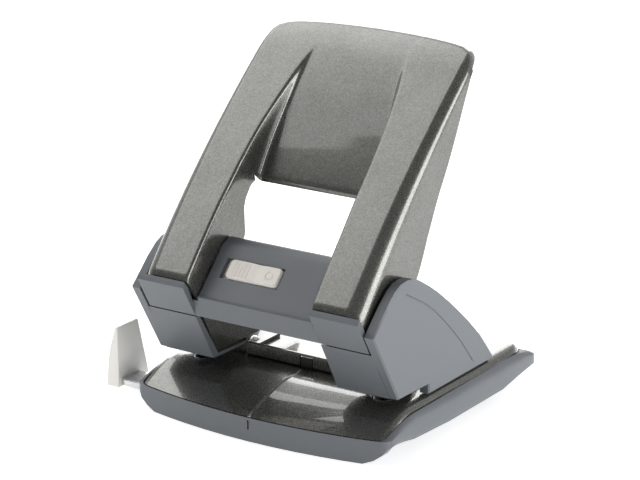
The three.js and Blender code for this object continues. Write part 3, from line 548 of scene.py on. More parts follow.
class Workshop:
    """Makes meshes and hands them their edges, shading, finish and body."""

    def __init__(self, shelf: FinishShelf) -> None:
        """Sets up with a shelf of finishes.

        Args:
            shelf: The finishes.
        """
        self.shelf = shelf

    def piece(
        self, name: str, points: Iterable[Sequence[float]], faces: Iterable[Sequence[int]]
    ) -> bpy.types.Object:
        """A mesh piece from points in millimetres.

        Args:
            name: The piece's name.
            points: Corners, in millimetres from the tower foot.
            faces: Corner numbers of each face.

        Returns:
            The new object, at the frame's origin.
        """
        mesh = bpy.data.meshes.new(name)
        mesh.from_pydata([in_frame(p) for p in points], [], [tuple(f) for f in faces])
        mesh.update()
        return stand(name, mesh)

    def recast(self, name: str, node: str, flat_degrees: float = 0.6) -> bpy.types.Object:
        """A clean many-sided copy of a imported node, ready for rounded edges.

        Args:
            name: The new piece's name.
            node: The node that it stands for.
            flat_degrees: Faces within this angle of each other become one face.

        Returns:
            The new piece.
        """
        body = bmesh.new()
        body.from_mesh(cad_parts[node].data)
        bmesh.ops.remove_doubles(body, verts=body.verts, dist=SAME_SPOT * MM)
        flat = math.radians(flat_degrees)
        bmesh.ops.dissolve_limit(
            body, angle_limit=flat, verts=body.verts, edges=body.edges, delimit={"SHARP"}
        )
        mesh = bpy.data.meshes.new(name)
        body.to_mesh(mesh)
        body.free()
        return stand(name, mesh)

    def round_edges(
        self, piece: bpy.types.Object, width_mm: float, over_degrees: float = 28, segments: int = 3
    ) -> None:
        """Rounds a piece's sharp edges and shades the rest smoothly.

        Args:
            piece: The piece.
            width_mm: Width of the rounding.
            over_degrees: Only edges that bend more than this are rounded.
            segments: Faces across the rounding.
        """
        self.bevel(piece, width_mm, over_degrees, segments)
        self.even_out(piece)

    @staticmethod
    def face_outwards(piece: bpy.types.Object) -> None:
        """Turns a closed piece's faces outwards.

        Args:
            piece: The piece.
        """
        with reshaped(piece.data) as body:
            bmesh.ops.recalc_face_normals(body, faces=body.faces)

    @staticmethod
    def thicken(piece: bpy.types.Object, thick_mm: float, even: bool) -> None:
        """Gives a sheet its thickness, inwards.

        Args:
            piece: The sheet.
            thick_mm: Its thickness.
            even: Whether the thickness is kept round sharp bends.
        """
        wall = piece.modifiers.new("sheet_thickness", "SOLIDIFY")
        wall.thickness = thick_mm * MM
        wall.offset = -1.0
        wall.use_even_offset = even

    @staticmethod
    def bevel(piece: bpy.types.Object, width_mm: float, over_degrees: float, segments: int) -> None:
        """Adds rounded edges to a piece.

        Args:
            piece: The piece.
            width_mm: Width of the rounding.
            over_degrees: Only edges that bend more than this are rounded.
            segments: Faces across the rounding.
        """
        edge = piece.modifiers.new("rounded_edges", "BEVEL")
        edge.width = width_mm * MM
        edge.segments = segments
        edge.limit_method = "ANGLE"
        edge.angle_limit = math.radians(over_degrees)
        edge.use_clamp_overlap = True
        edge.harden_normals = False

    @staticmethod
    def even_out(piece: bpy.types.Object) -> None:
        """Shades a piece smoothly, with its large faces kept flat.

        Args:
            piece: The piece.
        """
        piece.data.shade_smooth()
        even = piece.modifiers.new("even_shading", "WEIGHTED_NORMAL")
        even.weight = 90
        even.keep_sharp = True

    @staticmethod
    def settle(piece: bpy.types.Object) -> None:
        """Works a piece's modifiers into its mesh.

        Args:
            piece: The piece.
        """
        depsgraph = bpy.context.evaluated_depsgraph_get()
        settled = bpy.data.meshes.new_from_object(piece.evaluated_get(depsgraph))
        piece.modifiers.clear()
        piece.data = settled

    def cut(
        self, piece: bpy.types.Object, tools: Sequence[bpy.types.Object], kind: Cut = Cut.THROUGH
    ) -> None:
        """Cuts tools out of a piece and puts them away.

        Args:
            piece: The piece.
            tools: Closed cutters.
            kind: How the cut is worked out.
        """
        for tool in tools:
            hole = piece.modifiers.new("hole", "BOOLEAN")
            hole.operation = "DIFFERENCE"
            hole.solver = kind.value
            hole.object = tool
        self.settle(piece)
        for tool in tools:
            bpy.data.objects.remove(tool)

    def finish(
        self, piece: bpy.types.Object, finish: Finish, body: str, nodes: Sequence[str] = ()
    ) -> bpy.types.Object:
        """Dresses a piece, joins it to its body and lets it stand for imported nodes.

        Args:
            piece: The piece.
            finish: Its finish.
            body: The body it moves with.
            nodes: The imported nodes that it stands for.

        Returns:
            The piece.
        """
        self.shelf.dress(piece, finish)
        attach(piece, body)
        if nodes:
            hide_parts(*nodes)
        LOG.info("%s: %d corners, rides on %s", piece.name, len(piece.data.vertices), body)
        return piece

    def moulded(
        self,
        node: str,
        finish: Finish,
        body: str,
        edge_mm: float,
        over_degrees: float = 28,
        segments: int = 3,
    ) -> bpy.types.Object:
        """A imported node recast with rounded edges.

        Args:
            node: The node.
            finish: Its finish.
            body: The body it moves with.
            edge_mm: Width of the rounded edges.
            over_degrees: Only edges that bend more than this are rounded.
            segments: Faces across the rounding.

        Returns:
            The new piece.
        """
        made = self.recast(node + "_shape", node)
        self.round_edges(made, edge_mm, over_degrees, segments)
        return self.finish(made, finish, body, [node])


def sheet_faces(
    columns: int, rows: int, present: Callable[[int, int], bool]
) -> list[tuple[int, int, int, int]]:
    """The faces of a grid of points, column by column.

    Args:
        columns: Number of columns.
        rows: Points in a column.
        present: Whether the cell at a column and row is there.

    Returns:
        Corner numbers of each face.
    """
    return [
        (i * rows + j, (i + 1) * rows + j, (i + 1) * rows + j + 1, i * rows + j + 1)
        for i in range(columns - 1)
        for j in range(rows - 1)
        if present(i, j)
    ]


# ---------------------------------------------------------------- handle
@dataclass
class Handle:
    """The pressed handle shell, its plastic insert and its press rollers."""

    shop: Workshop
    tilt: float = math.radians(43.26)
    start: tuple[float, float] = (-15.5, 56.0)
    length: float = 118.0
    half_low: float = 47.5
    half_high: float = 45.2
    end_draw: tuple[float, float] = (96.0, 1.8)
    thick: float = 1.2
    edge_radius: tuple[float, float] = (6.6, 3.2)
    window_end: float = 49.4
    crown_at: float = 57.0
    crown_rise: float = 4.1
    crown_fall: tuple[float, float] = (3.6, 3.07)
    end_crown: float = 1.0
    curl_at: float = 101.0
    curl: float = 2.8
    front_end: float = -0.6
    front_lean: float = 0.242
    front_roll: tuple[float, float] = (2.8, 0.55)
    end_round: float = 3.6
    wall_share: float = 0.455
    wall_lean: float = 0.15
    rim_round: float = 0.35
    radius_end: float = 112.0
    bend_steepness: float = 9.5
    outer_depth: Track = Track(
        ((-6, 15), (0, 17.5), (5, 22), (12, 26), (20, 27.3), (31, 26.2), (46.3, 22), (59.1, 18.3),
         (70.8, 15.5), (83.6, 11.3), (96.3, 6.5), (104, 4), (112, 3))
    )
    panel_depth: Track = Track(
        ((49.4, 13.4), (49.9, 12.6), (50.6, 12.1), (51.6, 11.7), (53.4, 11.2), (60, 9.5), (68, 7.5),
         (80, 4.4), (90, 2.1), (100, 0.3), (104, 0.05))
    )
    wall_depth: Track = Track(
        ((-4, 8.4), (0, 9), (8, 12), (22, 18.6), (27, 20.4), (29.8, 20.1), (34, 16), (38, 12), (41.6, 10.7),
         (45.3, 10.4), (49.4, 12.0))
    )
    end_reach: Track = Track(
        ((0, 118.4), (14, 118.1), (27, 117.3), (36, 116.2), (40, 115), (42.4, 113), (44, 109.9), (45, 105.4))
    )
    inner_edge: Track = Track(((0, 29.3), (50, 28.5), (62, 28.0), (84, 26.0), (103, 23.6)))
    bend_width: Track = Track(((0, 6.7), (28, 6.9), (50, 6.6), (62, 6.3), (104, 7.5)))

    def point(self, x: float, up: float, depth: float) -> Point:
        """A point on the handle.

        Args:
            x: Distance from the middle.
            up: Distance up the arm.
            depth: Depth under the arm's straight line.

        Returns:
            The point, in millimetres.
        """
        cos, sin = math.cos(self.tilt), math.sin(self.tilt)
        return (x, self.start[0] + up * cos + depth * sin, self.start[1] + up * sin - depth * cos)

    def crown(self, up: float, x: float) -> float:
        """How far the handle's top lies under the arm's straight line.

        Args:
            up: Distance up the arm.
            x: Distance from the middle.

        Returns:
            The depth, below zero where the top lies over the line.
        """
        t = (up - self.crown_at) / self.crown_at
        across = self.end_crown * (1 - (x / self.half_high) ** 2) * smooth_share(up, 74, 104)
        curl = self.curl * max(0.0, (up - self.curl_at) / (self.length - self.curl_at)) ** 2
        front = self.front_roll[1] * max(0.0, 1 - (up - self.front_end) / self.front_roll[0]) ** 2
        fall = self.crown_fall[0 if up < self.crown_at else 1]
        return fall * t * t - self.crown_rise - across + curl + front

    def rise(self, share: float) -> float:
        """Height share of the inner bend at a share of its width."""
        k = self.bend_steepness
        return 0.5 + 0.5 * math.tanh(k * (share - 0.5)) / math.tanh(k / 2)

    def half(self, up: float) -> float:
        """Half of the handle's width at a distance up the arm."""
        draw_in = self.end_draw[1] * clamp((up - self.end_draw[0]) / (self.length - self.end_draw[0])) ** 2
        return lerp(self.half_low, self.half_high, clamp(up / self.length)) - draw_in

    def rounding(self, up: float) -> float:
        """Radius of the outer bend."""
        return lerp(*self.edge_radius, clamp(up / self.radius_end))

    def panel_column(self, share: float) -> Column:
        """A column on the sunken middle panel, at a share of its half-width."""
        return lambda up: (share * (self.inner_edge.at(up) - self.bend_width.at(up)), self.panel_depth.at(up))

    def bend_column(self, share: float) -> Column:
        """A column on the bend between panel and arm; beside the window it is the arm's inner wall.

        Args:
            share: Its place across the bend, from the panel at 0 to the arm's flat at 1.

        Returns:
            The column.
        """

        def place(up: float) -> Spot:
            """Offset and depth at a distance up the arm."""
            x = self.inner_edge.at(up) - (1 - share) * self.bend_width.at(up)
            if up >= self.window_end - 1e-6 or share < self.wall_share:
                return x, self.panel_depth.at(up) * (1 - self.rise(share))
            fall = (1 - self.rise(share)) / (1 - self.rise(self.wall_share))
            return x, self.wall_depth.at(up) * fall

        return place

    def flat_column(self, share: float) -> Column:
        """A column on the arm's flat, at a share of the way from the inner bend to the outer one."""
        return lambda up: (lerp(self.inner_edge.at(up), self.half(up) - self.rounding(up), share), 0.0)

    def round_column(self, degrees: float) -> Column:
        """A column on the outer bend, at an angle round it."""
        angle = math.radians(degrees)
        return lambda up: (
            self.half(up) - self.rounding(up) * (1 - math.sin(angle)),
            self.rounding(up) * (1 - math.cos(angle)),
        )

    def side_column(self, share: float) -> Column:
        """A column on the arm's outer wall, at a share of its depth."""
        return lambda up: (
            self.half(up) + self.wall_lean * share,
            lerp(self.rounding(up), self.outer_depth.at(up), share),
        )

    def columns(self) -> tuple[list[Column], int]:
        """All columns of the right half, from the middle out.

        Returns:
            The columns, and how many of them the window leaves out.
        """
        panel = [self.panel_column(share) for share in np.linspace(0, 1, 9)[:-1]]
        turn = [0.5 + 0.5 * math.copysign(abs(t) ** 1.7, t) for t in np.linspace(-1, 1, 23)]
        nearest = min(range(len(turn)), key=lambda i: abs(turn[i] - self.wall_share))
        turn[nearest] = self.wall_share
        bend = [self.bend_column(share) for share in turn]
        flat = [self.flat_column(share) for share in np.linspace(0, 1, 7)[1:-1]]
        round_over = [self.round_column(degrees) for degrees in np.linspace(0, 90, 11)]
        side = [self.side_column(share) for share in np.linspace(0, 1, 9)[1:]]
        return panel + bend + flat + round_over + side, len(panel) + nearest

    def rows(self) -> list[float]:
        """Rows of the handle before its rolled end.

        Returns:
            Their distances up the arm.
        """
        made = list(np.linspace(self.front_end, 3, 8))
        runs = ((3, 27, 18), (27, self.window_end, 22), (self.window_end, 54, 9), (54, 111.8, 40))
        for start, end, count in runs:
            made += list(np.linspace(start, end, count)[1:])
        return made

    def column_points(self, column: Column) -> list[Point]:
        """Sets out one column, from the front edge over the rolled end.

        Args:
            column: The column.

        Returns:
            Its points, in millimetres.
        """
        reach = self.end_reach.at(abs(column(104)[0]))
        points = []
        for row in self.rows():
            forward = self.front_lean * column(row)[1] * clamp(1 - (row - self.front_end) / 24)
            shift = (reach - self.length - 0.4) * clamp((row - 84) / 27)
            up = row - forward + shift
            x, under = column(up)
            points.append(self.point(x, up, self.crown(up, x) + under))
        for degrees in np.linspace(0, 90, 9):
            angle = math.radians(degrees)
            up = reach - self.end_round * (1 - math.sin(angle))
            x, under = column(up)
            fall = max(0.0, self.end_round - under) * (1 - math.cos(angle))
            points.append(self.point(x, up, self.crown(up, x) + under + fall))
        return points

    def shell(self) -> bpy.types.Object:
        """Builds the pressed shell, with its window and its rim.

        Returns:
            The shell.
        """
        columns, hidden = self.columns()
        right = [self.column_points(column) for column in columns]
        left = [[(-x, y, z) for x, y, z in line] for line in right[:0:-1]]
        grid = left + right
        centre = len(right) - 1
        window_row = min(range(len(self.rows())), key=lambda k: abs(self.rows()[k] - self.window_end))

        def present(i: int, j: int) -> bool:
            """Whether a cell of the grid is metal."""
            across = centre - 1 - i if i < centre else i - centre
            return not (across < hidden and j < window_row)

        faces = sheet_faces(len(grid), len(grid[0]), present)
        made = self.shop.piece("handle_shell_pressing", [p for line in grid for p in line], faces)
        self.clean(made)
        self.shop.thicken(made, self.thick, even=False)
        self.shop.round_edges(made, self.rim_round, 50)
        return self.shop.finish(made, Finish.PAINT, "handle", ["handle_shell"])

    @staticmethod
    def clean(piece: bpy.types.Object) -> None:
        """Drops points that no face uses, and joins points that meet.

        Args:
            piece: The piece.
        """
        with reshaped(piece.data) as body:
            bmesh.ops.delete(body, geom=[v for v in body.verts if not v.link_faces], context="VERTS")
            bmesh.ops.remove_doubles(body, verts=body.verts, dist=0.05 * MM)

    def build(self) -> None:
        """Builds and dresses the handle."""
        self.shell()
        self.shop.moulded("handle_insert", Finish.SLATE, "handle", 0.45)
        for side in ("left", "right"):
            self.shop.moulded(f"press_roller_{side}", Finish.STEEL, "handle", 0.25, 40)


# ---------------------------------------------------------------- base
@dataclass
class Base:
    """The pressed base plate on its chip tray, with stop, tab, feet and dies."""

    shop: Workshop
    half: float = 53.3
    top: float = 16.3
    edge: float = 14.0
    front_z: float = 9.4
    thick: float = 1.2
    roll: float = 4.0
    ramp_end: float = 9.0
    front: float = -10.6
    front_bulge: float = 6.2
    rear: float = 93.0
    rear_sweep: float = 6.0
    corner: float = 4.0
    bead_half: float = 0.9
    bead_rise: float = 0.45
    bead_end: float = 17.0
    sweep_half: float = 52.0
    die_x: float = 40.0
    die_y: float = 11.0
    die_hole: float = 4.02
    tab_hole: tuple[float, float, float] = (2.9, 19.4, 23.6)
    cutter_z: tuple[float, float] = (10.0, 20.0)
    rim_round: float = 0.3

    def corner_drop(self, x: float) -> float:
        """How far a corner falls back at a distance from the middle."""
        over = clamp((abs(x) - (self.half - self.corner)) / self.corner)
        return self.corner * (1 - math.sqrt(1 - over * over * 0.98))

    def front_y(self, x: float) -> float:
        """The plate's front edge."""
        return self.front - self.front_bulge * (1 - (x / self.sweep_half) ** 2) + 0.6 * self.corner_drop(x)

    def rear_y(self, x: float) -> float:
        """The plate's rear edge."""
        return self.rear - self.rear_sweep * (x / self.sweep_half) ** 2 - self.corner_drop(x)

    def height(self, x: float, y: float) -> float:
        """Height of the plate's top face.

        Args:
            x: Distance from the middle.
            y: Distance behind the tower foot.

        Returns:
            The height, in millimetres.
        """
        t = clamp((y - self.front_y(x)) / (self.ramp_end - self.front_y(x)))
        ramp = 1 - (1 - t) ** 1.6
        side = clamp((abs(x) - (self.half - self.roll)) / self.roll)
        tail = clamp((y - (self.rear_y(x) - self.roll)) / self.roll)
        away = min(1.0, math.hypot(side, tail))
        drop = (self.top - self.edge) * ramp * (1 - math.sqrt(1 - away * away))
        fade = smooth_share(self.bead_end - y, 0, 6)
        across = clamp(abs(x) / self.bead_half)
        bead = self.bead_rise * (1 - across * across) ** 2 * smooth_share(t, 0.0, 0.12) * fade
        return self.front_z + (self.top - self.front_z) * ramp - drop + bead

    def plate(self) -> bpy.types.Object:
        """Builds the base plate, with holes for the dies and the tray's tab.

        Returns:
            The plate.
        """
        outer = [self.half - self.roll * math.cos(angle) for angle in np.linspace(0, math.pi / 2, 12)]
        middle = list(np.linspace(self.bead_half, self.half - self.roll, 18)[1:-1])
        right = list(np.linspace(0, self.bead_half, 7)) + middle + outer
        xs = [-x for x in right[:0:-1]] + right
        ramp = np.linspace(0, 1, 22)
        flats = np.linspace(0, 1, 16)[1:-1]
        tail = [1 - math.cos(angle) for angle in np.linspace(0, math.pi / 2, 10)]
        grid = []
        for x in xs:
            front, rear = self.front_y(x), self.rear_y(x)
            ys = [lerp(front, self.ramp_end, share**1.15) for share in ramp]
            ys += [lerp(self.ramp_end, rear - self.roll - 0.2, share) for share in flats]
            ys += [rear - self.roll * math.cos(angle) for angle in np.linspace(0, math.pi / 2, len(tail))]
            grid.append([(x, y, self.height(x, y)) for y in ys])
        faces = sheet_faces(len(grid), len(grid[0]), lambda i, j: True)
        made = self.shop.piece("base_plate_pressing", [p for line in grid for p in line], faces)
        self.shop.thicken(made, self.thick, even=True)
        cutters = [self.round_cutter(side * self.die_x, self.die_y, self.die_hole) for side in (-1, 1)]
        cutters.append(self.square_cutter(*self.tab_hole))
        self.shop.cut(made, cutters)
        self.shop.round_edges(made, self.rim_round, 45)
        return self.shop.finish(made, Finish.PAINT, "base", ["base_plate"])

    def round_cutter(self, x: float, y: float, radius: float) -> bpy.types.Object:
        """An upright round cutter through the plate."""
        angles = np.linspace(0, 2 * math.pi, 49)[:-1]
        return self.cutter([(x + radius * math.cos(a), y + radius * math.sin(a)) for a in angles])

    def square_cutter(self, half: float, y0: float, y1: float) -> bpy.types.Object:
        """An upright four-sided cutter through the plate."""
        return self.cutter([(-half, y0), (half, y0), (half, y1), (-half, y1)])

    def cutter(self, ring: Sequence[tuple[float, float]]) -> bpy.types.Object:
        """An upright cutter through the plate.

        Args:
            ring: Its outline, anticlockwise.

        Returns:
            The cutter.
        """
        count = len(ring)
        points = [(x, y, z) for z in self.cutter_z for x, y in ring]
        faces = [(i, (i + 1) % count, count + (i + 1) % count, count + i) for i in range(count)]
        faces += [tuple(range(count - 1, -1, -1)), tuple(range(count, 2 * count))]
        made = self.shop.piece("cutter", points, faces)
        made.hide_render = True
        return made

    def build(self) -> None:
        """Builds and dresses the base."""
        self.plate()
        self.shop.moulded("tray", Finish.SLATE, "base", 0.5, 32)
        self.shop.moulded("tray_tab", Finish.COAL, "base", 0.35)
        self.shop.moulded("paper_stop", Finish.PAINT, "base", 0.3)
        for foot in ("foot_front_left", "foot_front_right", "foot_rear_left", "foot_rear_right"):
            self.shop.moulded(foot, Finish.RUBBER, "base", 0.25, 40)
        for side in ("left", "right"):
            self.shop.moulded(f"die_{side}", Finish.STEEL, "base", 0.15, 40)


# ---------------------------------------------------------------- towers
@dataclass
class Towers:
    """The two punch towers: side covers, brackets, rivets and pivot pins."""

    shop: Workshop
    face: float = 52.8
    rim: float = 52.3
    packed_rim: float = 52.45
    edge_round: float = 0.6
    crease_width: float = 0.55
    crease_depth: float = 0.45
    seam_x: tuple[float, float] = (50.4, 50.95)
    seam_depth: float = 0.55
    crease_line: tuple[Spot, ...] = (
        (5.7, 59.2), (8.8, 57.5), (12.4, 55.6), (18.2, 52.2), (24.6, 47.7), (31, 42.2), (37.6, 36),
        (44, 29.4), (49.3, 23), (51.6, 20.2),
    )
    seam_line: tuple[Spot, ...] = (
        (-3.4, 28.1), (-15.4, 48.8), (-11.2, 53), (-6.1, 57.8), (-0.9, 61.8), (3, 63.6), (6.9, 63.9),
        (10.8, 63.4), (14.8, 61.9), (21.5, 57.9), (28.3, 53.3),
    )

    def groove(
        self, line: Sequence[tuple[float, float]], shift: tuple[float, float], across: tuple[float, float]
    ) -> bpy.types.Object:
        """A thin curved cutter that follows a line on a cover.

        Args:
            line: Points of the line, as y and z, the cover's middle on its right-hand side.
            shift: How far its two edges lie from the line, towards the cover's middle.
            across: Its two ends across the punch, as x.

        Returns:
            The cutter.
        """
        spots = [Vector(at) for at in line]
        edges = []
        for k, at in enumerate(spots):
            run = (spots[min(k + 1, len(spots) - 1)] - spots[max(k - 1, 0)]).normalized()
            edges.append([at + Vector((run.y, -run.x)) * off for off in shift])
        points = [(x, at.x, at.y) for pair in edges for at in pair for x in across]
        faces = []
        for a in range(0, 4 * (len(edges) - 1), 4):
            b = a + 4
            faces += [(a, a + 1, b + 1, b), (a + 2, b + 2, b + 3, a + 3)]
            faces += [(a, b, b + 2, a + 2), (a + 1, a + 3, b + 3, b + 1)]
        last = 4 * (len(edges) - 1)
        faces += [(0, 2, 3, 1), (last, last + 1, last + 3, last + 2)]
        made = self.shop.piece("groove_cutter", points, faces)
        self.shop.face_outwards(made)
        return made

    def cover(self, side: str) -> None:
        """A side cover with its crowned rim and the groove along its front and top.

        Args:
            side: left or right.
        """
        way = 1 if side == "right" else -1
        made = self.shop.recast(f"cover_{side}_shape", f"cover_{side}")
        for vertex in made.data.vertices:
            if abs(abs(vertex.co.x) / MM - self.packed_rim) < 0.02:
                vertex.co.x = way * self.rim * MM
        self.shop.bevel(made, self.edge_round, 28, 4)
        half = self.crease_width / 2
        crease_x = (way * (self.face - self.crease_depth), way * (self.face + 1))
        seam_x = (way * self.seam_x[0], way * self.seam_x[1])
        crease = self.groove(self.crease_line, (-half, half), crease_x)
        seam = self.groove(self.seam_line, (-1.0, self.seam_depth), seam_x)
        self.shop.cut(made, [crease, seam], Cut.SHALLOW)
        self.shop.even_out(made)
        self.shop.finish(made, Finish.SLATE, "base", [f"cover_{side}"])

    def build(self) -> None:
        """Builds and dresses both towers."""
        for side in ("left", "right"):
            self.cover(side)
            self.shop.moulded(f"bracket_{side}", Finish.PAINT, "base", 0.25)
            self.shop.moulded(f"pivot_pin_{side}", Finish.STEEL, "base", 0.25, 40)
            for rivet in ("rivet_inner", "rivet_outer"):
                self.shop.moulded(f"{rivet}_{side}", Finish.STEEL, "base", 0.12, 40)


# ---------------------------------------------------------------- punches
@dataclass
class Punches:
    """The punch pins with their retaining rings and return springs."""

    shop: Workshop
    pin_x: float = 40.0
    pin_y: float = 11.0
    wire: float = 0.45
    coil_radius: float = 3.65
    turns: float = 5.0
    steps: int = 28
    sides: int = 10

    def spring(self, side: str) -> bpy.types.Object:
        """One return spring, wound from round wire.

        Args:
            side: left or right.

        Returns:
            The spring.
        """
        node = f"return_spring_{side}"
        low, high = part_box(node)
        base, top = low.z / MM + self.wire, high.z / MM - self.wire
        x = self.pin_x if side == "right" else -self.pin_x
        count = int(self.turns * self.steps)
        points, faces = [], []
        for k in range(count + 1):
            angle = k / self.steps * 2 * math.pi
            out = Vector((math.cos(angle), math.sin(angle), 0))
            centre = Vector((x, self.pin_y, lerp(base, top, k / count))) + out * self.coil_radius
            for f in range(self.sides):
                turn = f / self.sides * 2 * math.pi
                over = Vector((0, 0, self.wire * math.sin(turn)))
                points.append(centre + out * (self.wire * math.cos(turn)) + over)
        for k in range(count):
            for f in range(self.sides):
                a, b = k * self.sides + f, k * self.sides + (f + 1) % self.sides
                faces.append((a, a + self.sides, b + self.sides, b))
        faces.append(tuple(range(self.sides)))
        faces.append(tuple(reversed(range(count * self.sides, (count + 1) * self.sides))))
        made = self.shop.piece(f"coil_spring_{side}", points, faces)
        made.data.shade_smooth()
        self.shop.finish(made, Finish.WIRE, "base", [node])
        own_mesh(made)
        return made

    def build(self) -> None:
        """Builds and dresses both punches."""
        for side in ("left", "right"):
            self.shop.moulded(f"punch_pin_{side}", Finish.STEEL, f"punch_{side}", 0.15, 40)
            self.shop.moulded(f"retaining_ring_{side}", Finish.WIRE, f"punch_{side}", 0.15, 40)
            self.spring(side)


# ---------------------------------------------------------------- lock and guide
@dataclass
class Lock:
    """The lock slider in the handle's bridge: a moulded button on a foot with a tongue."""

    shop: Workshop
    tilt: float = math.radians(45)
    start: tuple[float, float] = (-12.0, 48.7)
    left: float = -17.9
    right: float = 4.6
    low: float = 9.7
    high: float = 17.5
    rise: float = 0.95
    root: float = -2.4
    corner: float = 1.7
    edge: float = 0.7
    waist: float = 0.35
    waist_at: float = 12.6
    waist_width: float = 2.6
    grips: int = 5
    grips_from: float = 2.2
    grip_pitch: float = 1.55
    grip_depth: float = 0.34
    mark_radius: float = 1.5
    mark_depth: float = 0.26
    mark_at: float = 4.2
    mark_width: float = 0.28
    overlap: float = 0.25
    tongue_end: float = -26.9
    tongue_trim: float = 0.3

    def point(self, x: float, up: float, over: float) -> Point:
        """A point on the bridge: across, up its slope and over its surface."""
        cos, sin = math.cos(self.tilt), math.sin(self.tilt)
        return (x, self.start[0] + up * cos - over * sin, self.start[1] + up * sin + over * cos)

    def inset(self, x: float, up: float) -> float:
        """Distance of a point from the button's rounded outline.

        Args:
            x: Place across the bridge.
            up: Place up the bridge's slope.

        Returns:
            The distance, above zero inside the outline.
        """
        half_x, half_up = (self.right - self.left) / 2, (self.high - self.low) / 2
        dx = abs(x - (self.left + self.right) / 2) - (half_x - self.corner)
        du = abs(up - (self.low + self.high) / 2) - (half_up - self.corner)
        return self.corner - math.hypot(max(dx, 0.0), max(du, 0.0)) - min(max(dx, du), 0.0)

    def height(self, x: float, up: float) -> float:
        """Height of the button's top over the bridge.

        Args:
            x: Place across the bridge.
            up: Place up the bridge's slope.

        Returns:
            The height, in millimetres.
        """
        inside = clamp(self.inset(x, up) / self.edge)
        round_off = self.edge * (1 - math.sqrt(1 - (1 - inside) ** 2))
        across = smooth_share(self.inset(x, up), 0.5, 1.3)
        phase = (x - self.left - self.grips_from) / self.grip_pitch
        ridges = 0.5 - 0.5 * math.cos(2 * math.pi * phase) if 0 < phase < self.grips else 0.0
        waist = self.waist * math.exp(-(((x - self.left - self.waist_at) / self.waist_width) ** 2))
        off_middle = up - (self.low + self.high) / 2
        ring = math.hypot(x - self.right + self.mark_at, off_middle) - self.mark_radius
        mark = self.mark_depth * math.exp(-((ring / self.mark_width) ** 2))
        return self.rise - round_off - across * (self.grip_depth * ridges + mark) - waist

    def button(self) -> None:
        """The button, with its grip ridges and a plain engraved ring."""
        xs = np.linspace(self.left, self.right, 151)
        ups = np.linspace(self.low, self.high, 57)
        points = [self.settled(x, up) for x in xs for up in ups]
        count = len(ups)
        faces = sheet_faces(len(xs), count, lambda i, j: True)
        border = list(range(count - 1))
        border += [i * count + count - 1 for i in range(len(xs) - 1)]
        border += [(len(xs) - 1) * count + j for j in range(count - 1, 0, -1)]
        border += [i * count for i in range(len(xs) - 1, 0, -1)]
        base = len(points)
        for k in border:
            x, up, _ = points[k]
            points.append((x, up, self.root))
        total = len(border)
        for k in range(total):
            after = (k + 1) % total
            faces.append((border[k], border[after], base + after, base + k))
        faces.append(tuple(range(base, base + total)))
        made = self.shop.piece("lock_button", [self.point(*at) for at in points], faces)
        self.shop.face_outwards(made)
        made.data.shade_smooth()
        self.shop.finish(made, Finish.CREAM, "lock", ["lock_slider"])

    def settled(self, x: float, up: float) -> Point:
        """Draws a grid point in from the corners to the rounded outline.

        Args:
            x: Place across the bridge.
            up: Place up the bridge's slope.

        Returns:
            The point, at the button's height there.
        """
        over = -self.inset(x, up)
        if over > 0:
            corner_x = clamp(x, self.left + self.corner, self.right - self.corner)
            corner_up = clamp(up, self.low + self.corner, self.high - self.corner)
            reach = math.hypot(x - corner_x, up - corner_up)
            x = corner_x + (x - corner_x) * self.corner / reach
            up = corner_up + (up - corner_up) * self.corner / reach
        return (x, up, self.height(x, up))

    def foot(self) -> None:
        """The slider's foot and tongue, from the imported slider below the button."""
        made = self.shop.recast("lock_foot", "lock_slider")
        normal = Vector((0, -math.sin(self.tilt), math.cos(self.tilt)))
        level = Vector(in_frame(self.point(0, self.low, self.root + self.overlap)))
        with reshaped(made.data) as body:
            for corner in body.verts:
                if abs(corner.co.x / MM - self.tongue_end) < self.tongue_trim / 10:
                    corner.co.x += self.tongue_trim * MM
            whole = body.verts[:] + body.edges[:] + body.faces[:]
            cut = bmesh.ops.bisect_plane(body, geom=whole, plane_co=level, plane_no=normal, clear_outer=True)
            rim = [part for part in cut["geom_cut"] if isinstance(part, bmesh.types.BMEdge)]
            bmesh.ops.holes_fill(body, edges=rim)
            bmesh.ops.recalc_face_normals(body, faces=body.faces)
        self.shop.round_edges(made, 0.45, 40)
        self.shop.finish(made, Finish.CREAM, "lock")

    def build(self) -> None:
        """Builds and dresses the slider."""
        self.button()
        self.foot()


@dataclass
class Guide:
    """The paper guide: rail, end stop and the keeper that holds the rail in the tray."""

    shop: Workshop

    def build(self) -> None:
        """Builds and dresses the guide."""
        self.shop.moulded("guide_rail", Finish.STEEL, "paper_guide", 0.2)
        self.shop.moulded("guide_stop", Finish.IVORY, "paper_guide", 0.5, 24, 4)
        self.shop.moulded("guide_keeper", Finish.COAL, "base", 0.3)


# ---------------------------------------------------------------- studio
@dataclass(frozen=True)
class Lamp:
    """A soft rectangular light, with places and sizes in metres and its power in watts."""

    name: str
    place: Point
    aim: Point
    size: tuple[float, float]
    watts: float


